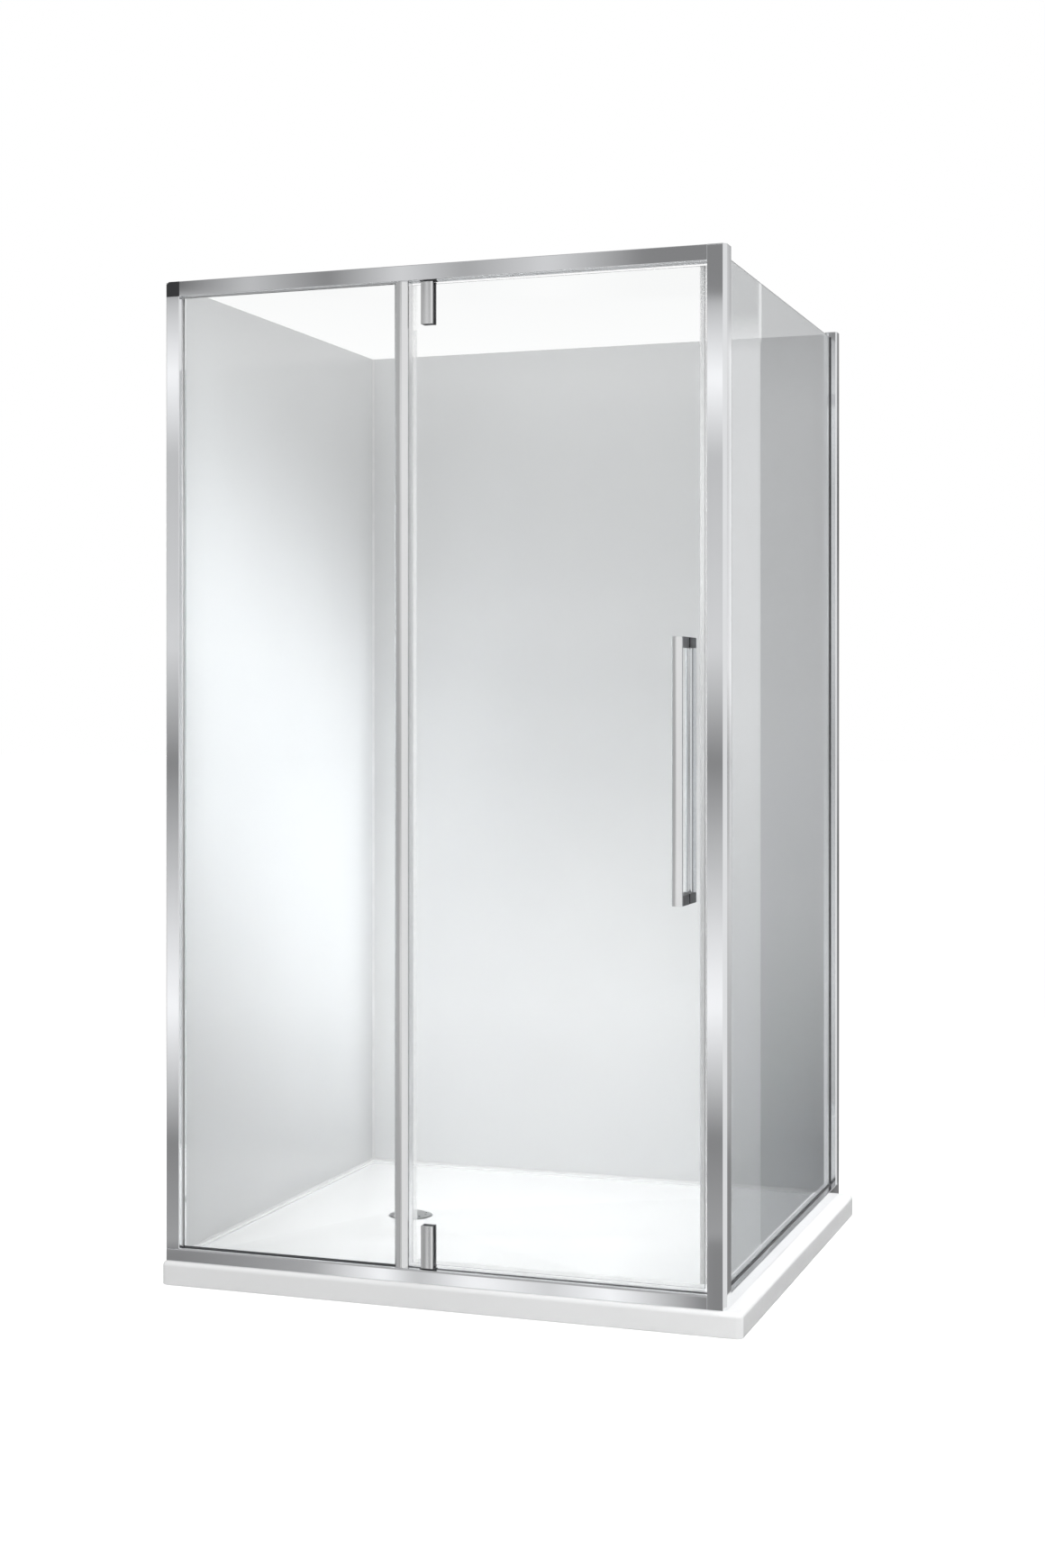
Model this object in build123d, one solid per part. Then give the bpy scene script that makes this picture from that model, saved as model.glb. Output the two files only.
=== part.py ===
from build123d import *

import os

# Corner shower enclosure: a tray, two wall liners, a fixed light, a pivot door and a return panel.
# Millimetres throughout. X runs left to right along the front, Y runs front to back, Z is up.
# The origin is the middle of the tray's underside, on the floor.

# Tray
tray_width = 1112
tray_depth = 1000
tray_height = 43
tray_skin = 4
tray_corner_radius = 12
tray_edge_radius = 8
rim_step = 5
rim_margin = 9
floor_fall = 10
floor_corner_radius = 40
fall_foot = 130
fall_foot_radius = 55
front_ledge = 10
side_ledge = 30
adhesive_gap = 2
core_clearance = 0.3
core_height_cut = 1

# Wall liners
liner_thickness = 4
liner_front_setback = 7.5
liner_side_setback = 4
sealant_leg = 4

# Frame
frame_height = 1830
metal_wall = 1.8
section_depth = 30
rail_height = 28
sill_height = 24
sill_bevel = 2.5
edge_round = 1.2
jamb_width = 27
post_width = 34
post_depth = 35
post_chamfer = 6
side_section = 25.2
rear_jamb_depth = 25
rear_jamb_chamfer = 3
joiner_bevel = 5
spigot_length = 20
spigot_clearance = 0.3
cap_thickness = 1.5

# Mullion
fixed_light_width = 472
mullion_width = 27
mullion_setback = 3
mullion_depth = 26
mullion_bulge = 7

# Wall channels and their fixings
channel_reach = 12
channel_wall = 1.5
channel_clearance = 0.3
channel_end_gap = 1
rear_channel_reach = 11
wall_hole_radius = 3
wall_hole_outer = 750
wall_hole_inner = 250
jamb_screw_spacing = 660
jamb_screw_from_wall = 7
jamb_screw_head_radius = 3.5
jamb_screw_head_height = 2
jamb_screw_head_round = 1.2
jamb_screw_radius = 1.9
jamb_screw_length = 6
screw_hole_clearance = 0.1

# Glass and its gaskets
glass_thickness = 6
glass_setback = 17
gasket_wall = 2
gasket_base = 2
gasket_lip = 1.5
pocket_depth = 12
side_glass_drop = 11

# Door
mullion_gap = 5
strike_gap = 8
door_bottom_gap = 8
door_top_gap = 6
pivot_from_mullion = 36
running_gap = 0.3
seal_clearance = 0.8
clip_leg = 8
clip_wall = 1.2
clip_base = 1.5
magnet_nose = 3.2
magnet_half_width = 3.5
magnet_gap = 0.5
strip_seat = 5
drip_clearance = 0.8
drip_fin = 1.2
drip_lean = 2.5
seal_end_gap = 1

# Pivots
block_width = 23
block_height = 76
block_plate = 7
block_face = 1.5
block_crown = 1
block_round = 0.8
block_gasket = 1
seat_length = 28
seat_plate_depth = 18
seat_plate = 0.8
pin_radius = 3.5
pin_fit = 0.05
pin_in_seat = 11
pin_in_block = 19
pin_tip = 0.8
bush_radius = 5
bush_length = 20
bush_flange_radius = 8
bush_flange = 1
notch_width = 19
notch_height = 22
notch_radius = 3
notch_clearance = 0.5
clamp_hole_radius = 4
clamp_screw_radius = 2.45
clamp_head_radius = 4.6
clamp_head_depth = 2.6
clamp_screw_low = 40
clamp_screw_high = 64
clamp_screw_end = 1.5

# Handle
handle_length = 462
handle_from_edge = 37
handle_height = 925
bar_radius = 10
bar_wall = 1.5
bar_offset = 46
post_block_height = 18
handle_washer = 1
handle_washer_radius = 9
handle_hole_radius = 6
handle_sleeve_wall = 1.4
stud_radius = 4
stud_fit = 0.1
stud_reach = 14
end_disc = 3

# Waste
waste_from_left = 266
waste_from_front = 560
waste_seat_depth = 4.5
waste_flange_radius = 45
waste_flange = 3
waste_flange_bevel = 1
waste_gasket = 1.5
waste_neck_radius = 30
waste_bore_radius = 27
waste_bore_depth = 12
waste_throat_radius = 26
waste_clearance = 0.5
waste_foot = 0.5
nut_radius = 40
nut_sides = 8
nut_height = 8
nut_washer = 1
nut_washer_radius = 36.8
cover_radius = 42
cover_thickness = 2.4
cover_crown = 2.5
cover_lift_gap = 0.3
cover_skirt_radius = 25
cover_skirt_wall = 2
cover_skirt_depth = 12
cover_hole_radius = 2.5
cover_hole_ring = 33
cover_hole_count = 10
cover_window = 9
cover_window_count = 4

# How near a point or an edge has to be to count as the one that is looked for
match = 0.01

# Places worked out from the sizes above
tray_left, tray_right = -tray_width / 2, tray_width / 2
tray_front, tray_rear = -tray_depth / 2, tray_depth / 2
frame_left = tray_left + adhesive_gap + liner_thickness
frame_right = tray_right - side_ledge
frame_front = tray_front + front_ledge
frame_rear = tray_rear - adhesive_gap - liner_thickness
frame_base = tray_height
frame_top = frame_base + frame_height
sill_top = frame_base + sill_height
rail_bottom = frame_top - rail_height
post_left = frame_right - post_width
post_rear = frame_front + post_depth
side_inner = frame_right - side_section
rear_jamb_front = frame_rear - rear_jamb_depth
front_glass_y = frame_front + glass_setback
side_glass_x = frame_right - glass_setback
pocket_half = glass_thickness / 2 + gasket_wall
mullion_x = frame_left + fixed_light_width
mullion_left = mullion_x - mullion_width / 2
mullion_right = mullion_x + mullion_width / 2
jamb_right = frame_left + jamb_width
pivot_x = mullion_right + pivot_from_mullion
door_left = mullion_right + mullion_gap
door_right = post_left - strike_gap
door_bottom = sill_top + door_bottom_gap
door_top = rail_bottom - door_top_gap
block_foot = sill_top + seat_plate + running_gap + bush_flange
block_head = rail_bottom - seat_plate - running_gap - bush_flange
block_half = glass_thickness / 2 + block_gasket
block_depth_half = block_half + block_plate
handle_x = door_right - handle_from_edge
handle_z = frame_base + handle_height
handle_reach = handle_length / 2 - post_block_height / 2
waste_x = frame_left + waste_from_left
waste_y = frame_front + waste_from_front
floor_edge = tray_height - rim_step
floor_low = floor_edge - floor_fall
floor_left = frame_left + rim_margin
floor_right = side_inner - rim_margin
floor_front = frame_front + section_depth + rim_margin
floor_rear = frame_rear - rim_margin


def rect(x0, y0, x1, y1):
    """Flat rectangle between two opposite corners."""
    return Pos((x0 + x1) / 2, (y0 + y1) / 2) * Rectangle(x1 - x0, y1 - y0)


def block(low, high):
    """Box between two opposite corners."""
    size = [b - a for a, b in zip(low, high)]
    middle = [(a + b) / 2 for a, b in zip(low, high)]
    return Pos(*middle) * Box(*size)


def upright(section, bottom, top):
    """Section in X and Y, drawn up from bottom to top."""
    return extrude(Pos(0, 0, bottom) * section, amount=top - bottom, dir=(0, 0, 1))


def along_x(section, start, end):
    """Section in Y and Z, drawn from start to end along X."""
    return extrude(Pos(start, 0, 0) * (Plane.YZ * section), amount=end - start, dir=(1, 0, 0))


def along_y(section, start, end):
    """Section in X and Z, drawn from start to end along Y."""
    return extrude(Pos(0, start, 0) * (Plane.XZ * section), amount=end - start, dir=(0, 1, 0))


def rod_x(radius, y, z, start, end):
    """Round bar along X."""
    return along_x(Pos(y, z) * Circle(radius), start, end)


def rod_y(radius, x, z, start, end):
    """Round bar along Y."""
    return along_y(Pos(x, z) * Circle(radius), start, end)


def rod_z(radius, x, y, start, end):
    """Round bar along Z."""
    return upright(Pos(x, y) * Circle(radius), start, end)


def turned(outline, x, y):
    """Outline of radius and height, turned about an upright axis."""
    face = make_face(Plane.XZ * Polyline(*outline, close=True))
    return Pos(x, y, 0) * revolve(face, Axis.Z)


def chambered(outer, pockets):
    """Extruded metal section: the outline, less its open pockets and the chambers between the walls."""
    chambers = offset(outer, amount=-metal_wall, kind=Kind.INTERSECTION)
    for x0, y0, x1, y1 in pockets:
        grown = rect(x0 - metal_wall, y0 - metal_wall, x1 + metal_wall, y1 + metal_wall)
        chambers -= grown
    section = outer - chambers
    for pocket in pockets:
        section -= rect(*pocket)
    return section


def eased(outline, corners):
    """Outline with each named corner cut back: a list of (x, y, size, is_round)."""
    for x, y, size, is_round in corners:
        near = [v for v in outline.vertices() if abs(v.X - x) < match and abs(v.Y - y) < match]
        outline = fillet(near, size) if is_round else chamfer(near, size)
    return outline


def tray_floor(grow, drop):
    """Space above the tray's floor, each side moved out by grow and the whole let down by drop."""
    width = floor_right - floor_left + 2 * grow
    depth = floor_rear - floor_front + 2 * grow
    middle = Pos((floor_left + floor_right) / 2, (floor_front + floor_rear) / 2)
    radius = floor_corner_radius + grow
    rim = middle * RectangleRounded(width, depth, radius)
    foot = fall_foot + 2 * grow
    low = Pos(waste_x, waste_y) * RectangleRounded(foot, foot, fall_foot_radius + grow)
    step = upright(rim, floor_edge - drop, tray_height + 1)
    fall = loft([Pos(0, 0, floor_edge - drop) * rim, Pos(0, 0, floor_low - drop) * low], ruled=True)
    seat = rod_z(waste_flange_radius + waste_clearance + grow, waste_x, waste_y,
                 floor_low - waste_seat_depth - drop, floor_edge)
    return step + fall + seat


def tray_void(gap):
    """Hollow under the tray's skin, shrunk by gap for what fits into it."""
    inset = tray_skin + gap
    radius = tray_corner_radius - inset
    outline = RectangleRounded(tray_width - 2 * inset, tray_depth - 2 * inset, radius)
    room = upright(outline, 0, tray_height - inset)
    return room - tray_floor(inset, inset)


def tray():
    """Acrylic tray: rounded rim, stepped floor with falls to the waste, and a hollow underside."""
    body = block((tray_left, tray_front, 0), (tray_right, tray_rear, tray_height))
    corners = body.edges().filter_by(Axis.Z).sort_by(Axis.X)
    outside = [e for e in corners if e.center().X > 0 or e.center().Y < 0]
    body = fillet(outside, tray_corner_radius)
    rim = body.faces().sort_by(Axis.Z)[-1].edges()
    rear_line, left_line = tray_rear - match, tray_left + match
    shown = [e for e in rim if e.center().Y < rear_line and e.center().X > left_line]
    body = fillet(shown, tray_edge_radius)
    body -= tray_floor(0, 0)
    body -= tray_void(0)
    mouth = rod_z(waste_neck_radius + waste_clearance, waste_x, waste_y, 0, tray_height)
    return body - mouth


def tray_core():
    """Moulded foam core that fills the tray's underside and leaves a well for the waste."""
    core = tray_void(core_clearance)
    core &= block((tray_left, tray_front, 0), (tray_right, tray_rear, tray_height - core_height_cut))
    well = rod_z(nut_radius + tray_skin, waste_x, waste_y, 0, tray_height)
    return core - well


def waste_levels():
    """Heights of the waste's gasket, flange foot and flange top, and of the tray's skin under it."""
    seat = floor_low - waste_seat_depth
    return seat, seat + waste_gasket, seat + waste_gasket + waste_flange, seat - tray_skin


def waste_body():
    """Flanged waste with a neck that passes down through the tray."""
    _, foot, top, _ = waste_levels()
    outline = [(waste_bore_radius, waste_foot), (waste_neck_radius, waste_foot), (waste_neck_radius, foot),
               (waste_flange_radius, foot), (waste_flange_radius, top - waste_flange_bevel),
               (waste_flange_radius - waste_flange_bevel, top), (waste_throat_radius, top),
               (waste_throat_radius, waste_foot + waste_bore_depth),
               (waste_bore_radius, waste_foot + waste_bore_depth)]
    return turned(outline, waste_x, waste_y)


def waste_gasket_ring():
    """Rubber ring between the waste's flange and its seat in the tray."""
    seat, foot, _, _ = waste_levels()
    inner = waste_neck_radius + waste_clearance
    ring = Circle(waste_flange_radius) - Circle(inner)
    return upright(Pos(waste_x, waste_y) * ring, seat, foot)


def waste_nut():
    """Eight-sided back nut with its washer face up against the tray's skin."""
    skin = waste_levels()[3]
    inner = waste_neck_radius + stud_fit
    centre = Pos(waste_x, waste_y)
    nut = upright(centre * (RegularPolygon(nut_radius, nut_sides) - Circle(inner)),
                  skin - nut_washer - nut_height, skin - nut_washer)
    washer = upright(centre * (Circle(nut_washer_radius) - Circle(inner)), skin - nut_washer, skin)
    return nut + washer


def waste_cover():
    """Lift-off cover: crowned disc with a ring of holes and a slotted skirt that drops into the waste."""
    top = waste_levels()[2] + cover_lift_gap
    edge_top = top + cover_thickness / 2
    apex = top + cover_thickness + cover_crown
    sag = apex - edge_top
    crown_radius = (cover_radius ** 2 + sag ** 2) / (2 * sag)
    disc = rod_z(cover_radius, 0, 0, top, apex + 1) & (Pos(0, 0, apex - crown_radius) * Sphere(crown_radius))
    ring = Circle(cover_skirt_radius) - Circle(cover_skirt_radius - cover_skirt_wall)
    skirt = upright(ring, top - cover_skirt_depth, edge_top)
    window = block((0, -cover_window / 2, top - cover_skirt_depth),
                   (cover_skirt_radius * 2, cover_window / 2, top - cover_thickness))
    for turn in range(cover_window_count):
        skirt -= Rot(0, 0, turn * 360 / cover_window_count) * window
    cover = disc + skirt
    hole = rod_z(cover_hole_radius, cover_hole_ring, 0, top - cover_skirt_depth, apex + 1)
    for turn in range(cover_hole_count):
        cover -= Rot(0, 0, turn * 360 / cover_hole_count) * hole
    return Pos(waste_x, waste_y, 0) * cover


def wall_holes(middle):
    """Heights of the four fixing holes in each wall channel."""
    half = wall_hole_outer, wall_hole_inner
    return [middle + side * reach for reach in half for side in (-1, 1)]


def channel_middle():
    """Mid height of the two wall channels."""
    return (sill_top + rail_bottom) / 2


def left_liner():
    """Flat liner on the left wall, drilled for the wall channel's screws."""
    sheet = block((frame_left - liner_thickness, frame_front + liner_front_setback, frame_base),
                  (frame_left, frame_rear, frame_top))
    y = frame_front + section_depth / 2
    for z in wall_holes(channel_middle()):
        sheet -= rod_x(wall_hole_radius, y, z, frame_left - 2 * liner_thickness, frame_left + 1)
    return sheet


def back_liner():
    """Flat liner on the back wall, lapped over the end of the left liner."""
    sheet = block((frame_left - liner_thickness, frame_rear, frame_base),
                  (frame_right - liner_side_setback, frame_rear + liner_thickness, frame_top))
    x = frame_right - side_section / 2
    for z in wall_holes(channel_middle()):
        sheet -= rod_y(wall_hole_radius, x, z, frame_rear - 1, frame_rear + 2 * liner_thickness)
    return sheet


def corner_sealant():
    """Bead of sealant up the corner between the two liners."""
    bead = make_face(Polyline((frame_left, frame_rear), (frame_left + sealant_leg, frame_rear),
                              (frame_left, frame_rear - sealant_leg), close=True))
    return upright(bead, frame_base + sealant_leg, frame_top)


def foot_sealant():
    """Bead of sealant where the liners meet the tray."""
    left = make_face(Polyline((frame_left, frame_base), (frame_left + sealant_leg, frame_base),
                              (frame_left, frame_base + sealant_leg), close=True))
    back = make_face(Polyline((frame_rear, frame_base), (frame_rear - sealant_leg, frame_base),
                              (frame_rear, frame_base + sealant_leg), close=True))
    bead = along_y(left, frame_front + section_depth, frame_rear)
    return bead + along_x(back, frame_left, side_inner)


def wall_channel_section(width, reach):
    """Channel with its web at y = 0, open towards +y, centred on x = 0."""
    outer = rect(-width / 2, 0, width / 2, reach)
    inner = rect(-width / 2 + channel_wall, channel_wall, width / 2 - channel_wall, reach + 1)
    return outer - inner


def jamb_screw_heights():
    """Heights of the screws that hold each jamb on its wall channel."""
    return [channel_middle() + step * jamb_screw_spacing for step in (-1, 0, 1)]


def jamb_screw_hole():
    """Radius of the clearance hole round a jamb screw."""
    return jamb_screw_radius + screw_hole_clearance


def left_screw_x():
    """Distance across at which the left jamb's screws sit."""
    return frame_left + jamb_screw_from_wall


def left_wall_channel():
    """Channel screwed to the left wall, inside the jamb."""
    width = section_depth - 2 * metal_wall - 2 * channel_clearance
    section = wall_channel_section(width, channel_reach - channel_end_gap)
    section = Pos(frame_left, frame_front + section_depth / 2) * Rot(0, 0, -90) * section
    rail = upright(section, sill_top, rail_bottom)
    y = frame_front + section_depth / 2
    for z in wall_holes(channel_middle()):
        rail -= rod_x(wall_hole_radius, y, z, frame_left - 1, frame_left + 2 * channel_wall)
    for z in jamb_screw_heights():
        rail -= rod_y(jamb_screw_hole(), left_screw_x(), z, y, frame_front + section_depth)
    return rail


def rear_screw_y():
    """Distance back at which the rear jamb's screws sit."""
    return frame_rear - jamb_screw_from_wall


def rear_wall_channel():
    """Channel screwed to the back wall, inside the rear jamb."""
    width = side_section - 2 * metal_wall - 2 * channel_clearance
    section = wall_channel_section(width, rear_channel_reach - channel_end_gap)
    x = frame_right - side_section / 2
    section = Pos(x, frame_rear) * Rot(0, 0, 180) * section
    rail = upright(section, sill_top, frame_top - cap_thickness)
    for z in wall_holes(channel_middle()):
        rail -= rod_y(wall_hole_radius, x, z, frame_rear - 2 * channel_wall, frame_rear + 1)
    for z in jamb_screw_heights():
        rail -= rod_x(jamb_screw_hole(), rear_screw_y(), z, side_inner, x)
    return rail


def left_jamb():
    """Left upright: telescopes over its wall channel and holds the fixed light."""
    outer = rect(frame_left, frame_front, jamb_right, frame_front + section_depth)
    outer = eased(outer, [(x, frame_front, edge_round, True) for x in (jamb_right, frame_left)])
    cavity = (frame_left - 1, frame_front + metal_wall, frame_left + channel_reach,
              frame_front + section_depth - metal_wall)
    pocket = (jamb_right - pocket_depth, front_glass_y - pocket_half,
              jamb_right + 1, front_glass_y + pocket_half)
    jamb = upright(chambered(outer, [cavity, pocket]), sill_top, rail_bottom)
    y = frame_front + section_depth
    for z in jamb_screw_heights():
        jamb -= rod_y(jamb_screw_hole(), left_screw_x(), z, y - 2 * metal_wall, y + 1)
    return jamb


def rear_jamb():
    """Rear upright of the return panel: telescopes over its wall channel and holds the side glass."""
    outer = rect(side_inner, rear_jamb_front, frame_right, frame_rear)
    outer = eased(outer, [(frame_right, rear_jamb_front, rear_jamb_chamfer, False)])
    cavity = (side_inner + metal_wall, frame_rear - rear_channel_reach,
              frame_right - metal_wall, frame_rear + 1)
    pocket = (side_glass_x - pocket_half, rear_jamb_front - 1, side_glass_x + pocket_half,
              rear_jamb_front + pocket_depth)
    jamb = upright(chambered(outer, [cavity, pocket]), sill_top, frame_top - cap_thickness)
    for z in jamb_screw_heights():
        jamb -= rod_x(jamb_screw_hole(), rear_screw_y(), z, side_inner - 1, side_inner + 2 * metal_wall)
    return jamb


def rear_jamb_cap():
    """Flush cap on the rear jamb."""
    outer = rect(side_inner, rear_jamb_front, frame_right, frame_rear)
    outer = eased(outer, [(frame_right, rear_jamb_front, rear_jamb_chamfer, False)])
    return upright(outer, frame_top - cap_thickness, frame_top)


def jamb_screw(length):
    """Pan head screw along -Y, its head standing on the plane y = 0."""
    head = rod_y(jamb_screw_head_radius, 0, 0, 0, jamb_screw_head_height)
    head = fillet(head.edges().sort_by(Axis.Y)[-1], jamb_screw_head_round)
    return head + rod_y(jamb_screw_radius, 0, 0, -length, 0)


def jamb_screws():
    """The three screws of each jamb, driven from inside the cabin."""
    screws = []
    for z in jamb_screw_heights():
        left = Pos(left_screw_x(), frame_front + section_depth, z)
        rear = Pos(side_inner, rear_screw_y(), z) * Rot(0, 0, 90)
        screws += [left * jamb_screw(jamb_screw_length), rear * jamb_screw(jamb_screw_length)]
    return Compound(children=[s.solid() for s in screws])


def post_outline():
    """Outline of the corner post, its outer corner chamfered."""
    outer = rect(post_left, frame_front, frame_right, post_rear)
    return eased(outer, [(frame_right, frame_front, post_chamfer, False)])


def corner_post():
    """Corner post: takes the side glass behind and the door's magnet strip on its left face."""
    glass_pocket = (side_glass_x - pocket_half, post_rear - pocket_depth,
                    side_glass_x + pocket_half, post_rear + 1)
    strip_pocket = (post_left - 1, front_glass_y - magnet_half_width, post_left + strip_seat,
                    front_glass_y + magnet_half_width)
    section = chambered(post_outline(), [glass_pocket, strip_pocket])
    return upright(section, frame_base, frame_top - cap_thickness)


def post_cap():
    """Flush cap on the corner post."""
    return upright(post_outline(), frame_top - cap_thickness, frame_top)


def top_rail():
    """Head rail across the front, its pocket facing down."""
    outer = rect(frame_front, rail_bottom, frame_front + section_depth, frame_top)
    outer = eased(outer, [(frame_front, z, edge_round, True) for z in (rail_bottom, frame_top)])
    pocket = (front_glass_y - pocket_half, rail_bottom - 1,
              front_glass_y + pocket_half, rail_bottom + pocket_depth)
    return along_x(chambered(outer, [pocket]), jamb_right, post_left)


def top_corner_joiner():
    """Moulded corner piece between the left jamb and the head rail, with a spigot into each."""
    front = make_face(Polyline((frame_left, rail_bottom), (jamb_right, rail_bottom), (jamb_right, frame_top),
                               (frame_left + joiner_bevel, frame_top), (frame_left, frame_top - joiner_bevel),
                               close=True))
    body = along_y(front, frame_front, frame_front + section_depth)
    near = frame_front + metal_wall + spigot_clearance
    far = front_glass_y - pocket_half - metal_wall - spigot_clearance
    low = metal_wall + spigot_clearance
    across = block((jamb_right, near, rail_bottom + low), (jamb_right + spigot_length, far, frame_top - low))
    down = block((frame_left + channel_reach + low, near, rail_bottom - spigot_length),
                 (jamb_right - low, far, rail_bottom))
    corner_slot = block((jamb_right - pocket_depth, front_glass_y - pocket_half, rail_bottom - 1),
                        (jamb_right + 1, front_glass_y + pocket_half, rail_bottom + pocket_depth))
    return body + across + down - corner_slot


def front_sill():
    """Sill across the front, bevelled along its top front edge."""
    outer = rect(frame_front, frame_base, frame_front + section_depth, sill_top)
    outer = eased(outer, [(frame_front, sill_top, sill_bevel, False)])
    pocket = (front_glass_y - pocket_half, sill_top - pocket_depth, front_glass_y + pocket_half, sill_top + 1)
    return along_x(chambered(outer, [pocket]), frame_left, post_left)


def side_rail():
    """Bottom rail of the return panel, from the corner post to the back wall."""
    outer = rect(side_inner, frame_base, frame_right, sill_top)
    outer = eased(outer, [(frame_right, sill_top, edge_round, True)])
    pocket = (side_glass_x - pocket_half, sill_top - pocket_depth, side_glass_x + pocket_half, sill_top + 1)
    return along_y(chambered(outer, [pocket]), post_rear, frame_rear)


def mullion():
    """Round-fronted upright between the fixed light and the door."""
    front = frame_front + mullion_setback
    shoulder = front + mullion_bulge
    rear = front + mullion_depth
    bow = ThreePointArc((mullion_left, shoulder), (mullion_x, front), (mullion_right, shoulder))
    box = Polyline((mullion_right, shoulder), (mullion_right, rear),
                   (mullion_left, rear), (mullion_left, shoulder))
    outer = make_face(bow + box)
    pocket = (mullion_left - 1, front_glass_y - pocket_half,
              mullion_left + pocket_depth, front_glass_y + pocket_half)
    return upright(chambered(outer, [pocket]), sill_top, rail_bottom)


def pocket_infill(face, floor):
    """Channel strip that closes the empty pocket over or under the door, with a gap for the pivot's seat."""
    low, high = min(face, floor), max(face, floor)
    outer = rect(front_glass_y - pocket_half, low, front_glass_y + pocket_half, high)
    inner_low = low + metal_wall if face < floor else low - 1
    inner_high = high + 1 if face < floor else high - metal_wall
    inner = rect(front_glass_y - pocket_half + metal_wall, inner_low,
                 front_glass_y + pocket_half - metal_wall, inner_high)
    left = along_x(outer - inner, mullion_right, pivot_x - seat_length / 2)
    right = along_x(outer - inner, pivot_x + seat_length / 2, post_left)
    return Compound(children=[left.solid(), right.solid()])


def glass_gasket(section_depth_in, lip):
    """U-shaped gasket section: its base on y = 0, its mouth towards +y, centred on x = 0."""
    outer = rect(-pocket_half, 0, pocket_half, section_depth_in + lip)
    slot = rect(-glass_thickness / 2, gasket_base, glass_thickness / 2, section_depth_in + lip + 1)
    return outer - slot


def fixed_glass():
    """Fixed light's pane, held in the jamb, mullion, sill and head rail."""
    seat = pocket_depth - gasket_base
    return block((jamb_right - seat, front_glass_y - glass_thickness / 2, sill_top - seat),
                 (mullion_left + seat, front_glass_y + glass_thickness / 2, rail_bottom + seat))


def fixed_glass_gaskets():
    """Gasket strips on the four edges of the fixed light."""
    section = glass_gasket(pocket_depth, gasket_lip)
    low, high = sill_top + gasket_lip, rail_bottom - gasket_lip
    left = upright(Pos(jamb_right - pocket_depth, front_glass_y) * Rot(0, 0, -90) * section, low, high)
    right = upright(Pos(mullion_left + pocket_depth, front_glass_y) * Rot(0, 0, 90) * section, low, high)
    foot = along_x(Pos(front_glass_y, sill_top - pocket_depth) * section, jamb_right, mullion_left)
    head = along_x(Pos(front_glass_y, rail_bottom + pocket_depth) * Rot(0, 0, 180) * section,
                   jamb_right, mullion_left)
    return Compound(children=[s.solid() for s in (left, right, foot, head)])


def side_glass():
    """Return panel's pane, its top edge bare."""
    seat = pocket_depth - gasket_base
    return block((side_glass_x - glass_thickness / 2, post_rear - seat, sill_top - seat),
                 (side_glass_x + glass_thickness / 2, rear_jamb_front + seat, frame_top - side_glass_drop))


def side_glass_gaskets():
    """Gasket strips on the post, jamb and sill edges of the return panel."""
    section = glass_gasket(pocket_depth, gasket_lip)
    low, high = sill_top + gasket_lip, frame_top - side_glass_drop
    near = upright(Pos(side_glass_x, post_rear - pocket_depth) * section, low, high)
    far = upright(Pos(side_glass_x, rear_jamb_front + pocket_depth) * Rot(0, 0, 180) * section, low, high)
    foot = along_y(Pos(side_glass_x, sill_top - pocket_depth) * section, post_rear, rear_jamb_front)
    return Compound(children=[s.solid() for s in (near, far, foot)])


def clamp_screw_heights():
    """Distances of the two clamp screws from the foot of a pivot block."""
    return clamp_screw_low, clamp_screw_high


def at_foot(shape):
    """Places a shape drawn about the pivot's axis at the foot of the door."""
    return Pos(pivot_x, front_glass_y, block_foot) * shape


def at_head(shape):
    """Places the same shape upside down at the head of the door."""
    return Pos(pivot_x, front_glass_y, block_head) * mirror(shape, about=Plane.XY)


def notch(clearance):
    """Cut-out through the glass for the pivot's bush, with rounded inner corners."""
    glass_foot = door_bottom - block_foot
    half = notch_width / 2 - clearance
    top = glass_foot + notch_height - clearance
    outline = rect(-half, -2 * notch_height, half, top)
    corners = [(side * half, top, notch_radius, True) for side in (-1, 1)]
    outline = eased(outline, corners)
    return along_y(outline, -3 * block_depth_half, 3 * block_depth_half)


def door_glass():
    """Frameless door pane, notched for the pivots and drilled for the clamps and the handle."""
    half = glass_thickness / 2
    pane = block((door_left, front_glass_y - half, door_bottom), (door_right, front_glass_y + half, door_top))
    pane -= at_foot(notch(0))
    pane -= at_head(notch(0))
    for z in clamp_screw_heights():
        pane -= rod_y(clamp_hole_radius, pivot_x, block_foot + z, tray_front, tray_rear)
        pane -= rod_y(clamp_hole_radius, pivot_x, block_head - z, tray_front, tray_rear)
    for z in (handle_z - handle_reach, handle_z + handle_reach):
        pane -= rod_y(handle_hole_radius, handle_x, z, tray_front, tray_rear)
    return pane


def plate_section(near, far):
    """Plan outline of a pivot plate with rounded edges, between two depths."""
    return rect(-block_width / 2, near, block_width / 2, far)


def bush_bore():
    """Bore for the bush, up through the block from its foot."""
    return rod_z(bush_radius + pin_fit, 0, 0, -1, bush_length + pin_fit)


def pivot_outer_half():
    """Outer clamp plate, grooved for the bush and tapped for the clamp screws."""
    plate = upright(plate_section(-block_depth_half + block_face, -block_half), 0, block_height)
    plate -= bush_bore()
    for z in clamp_screw_heights():
        plate -= rod_y(clamp_screw_radius + screw_hole_clearance, 0, z,
                       -block_depth_half + block_face + clamp_screw_end, 0)
    return plate


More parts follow.
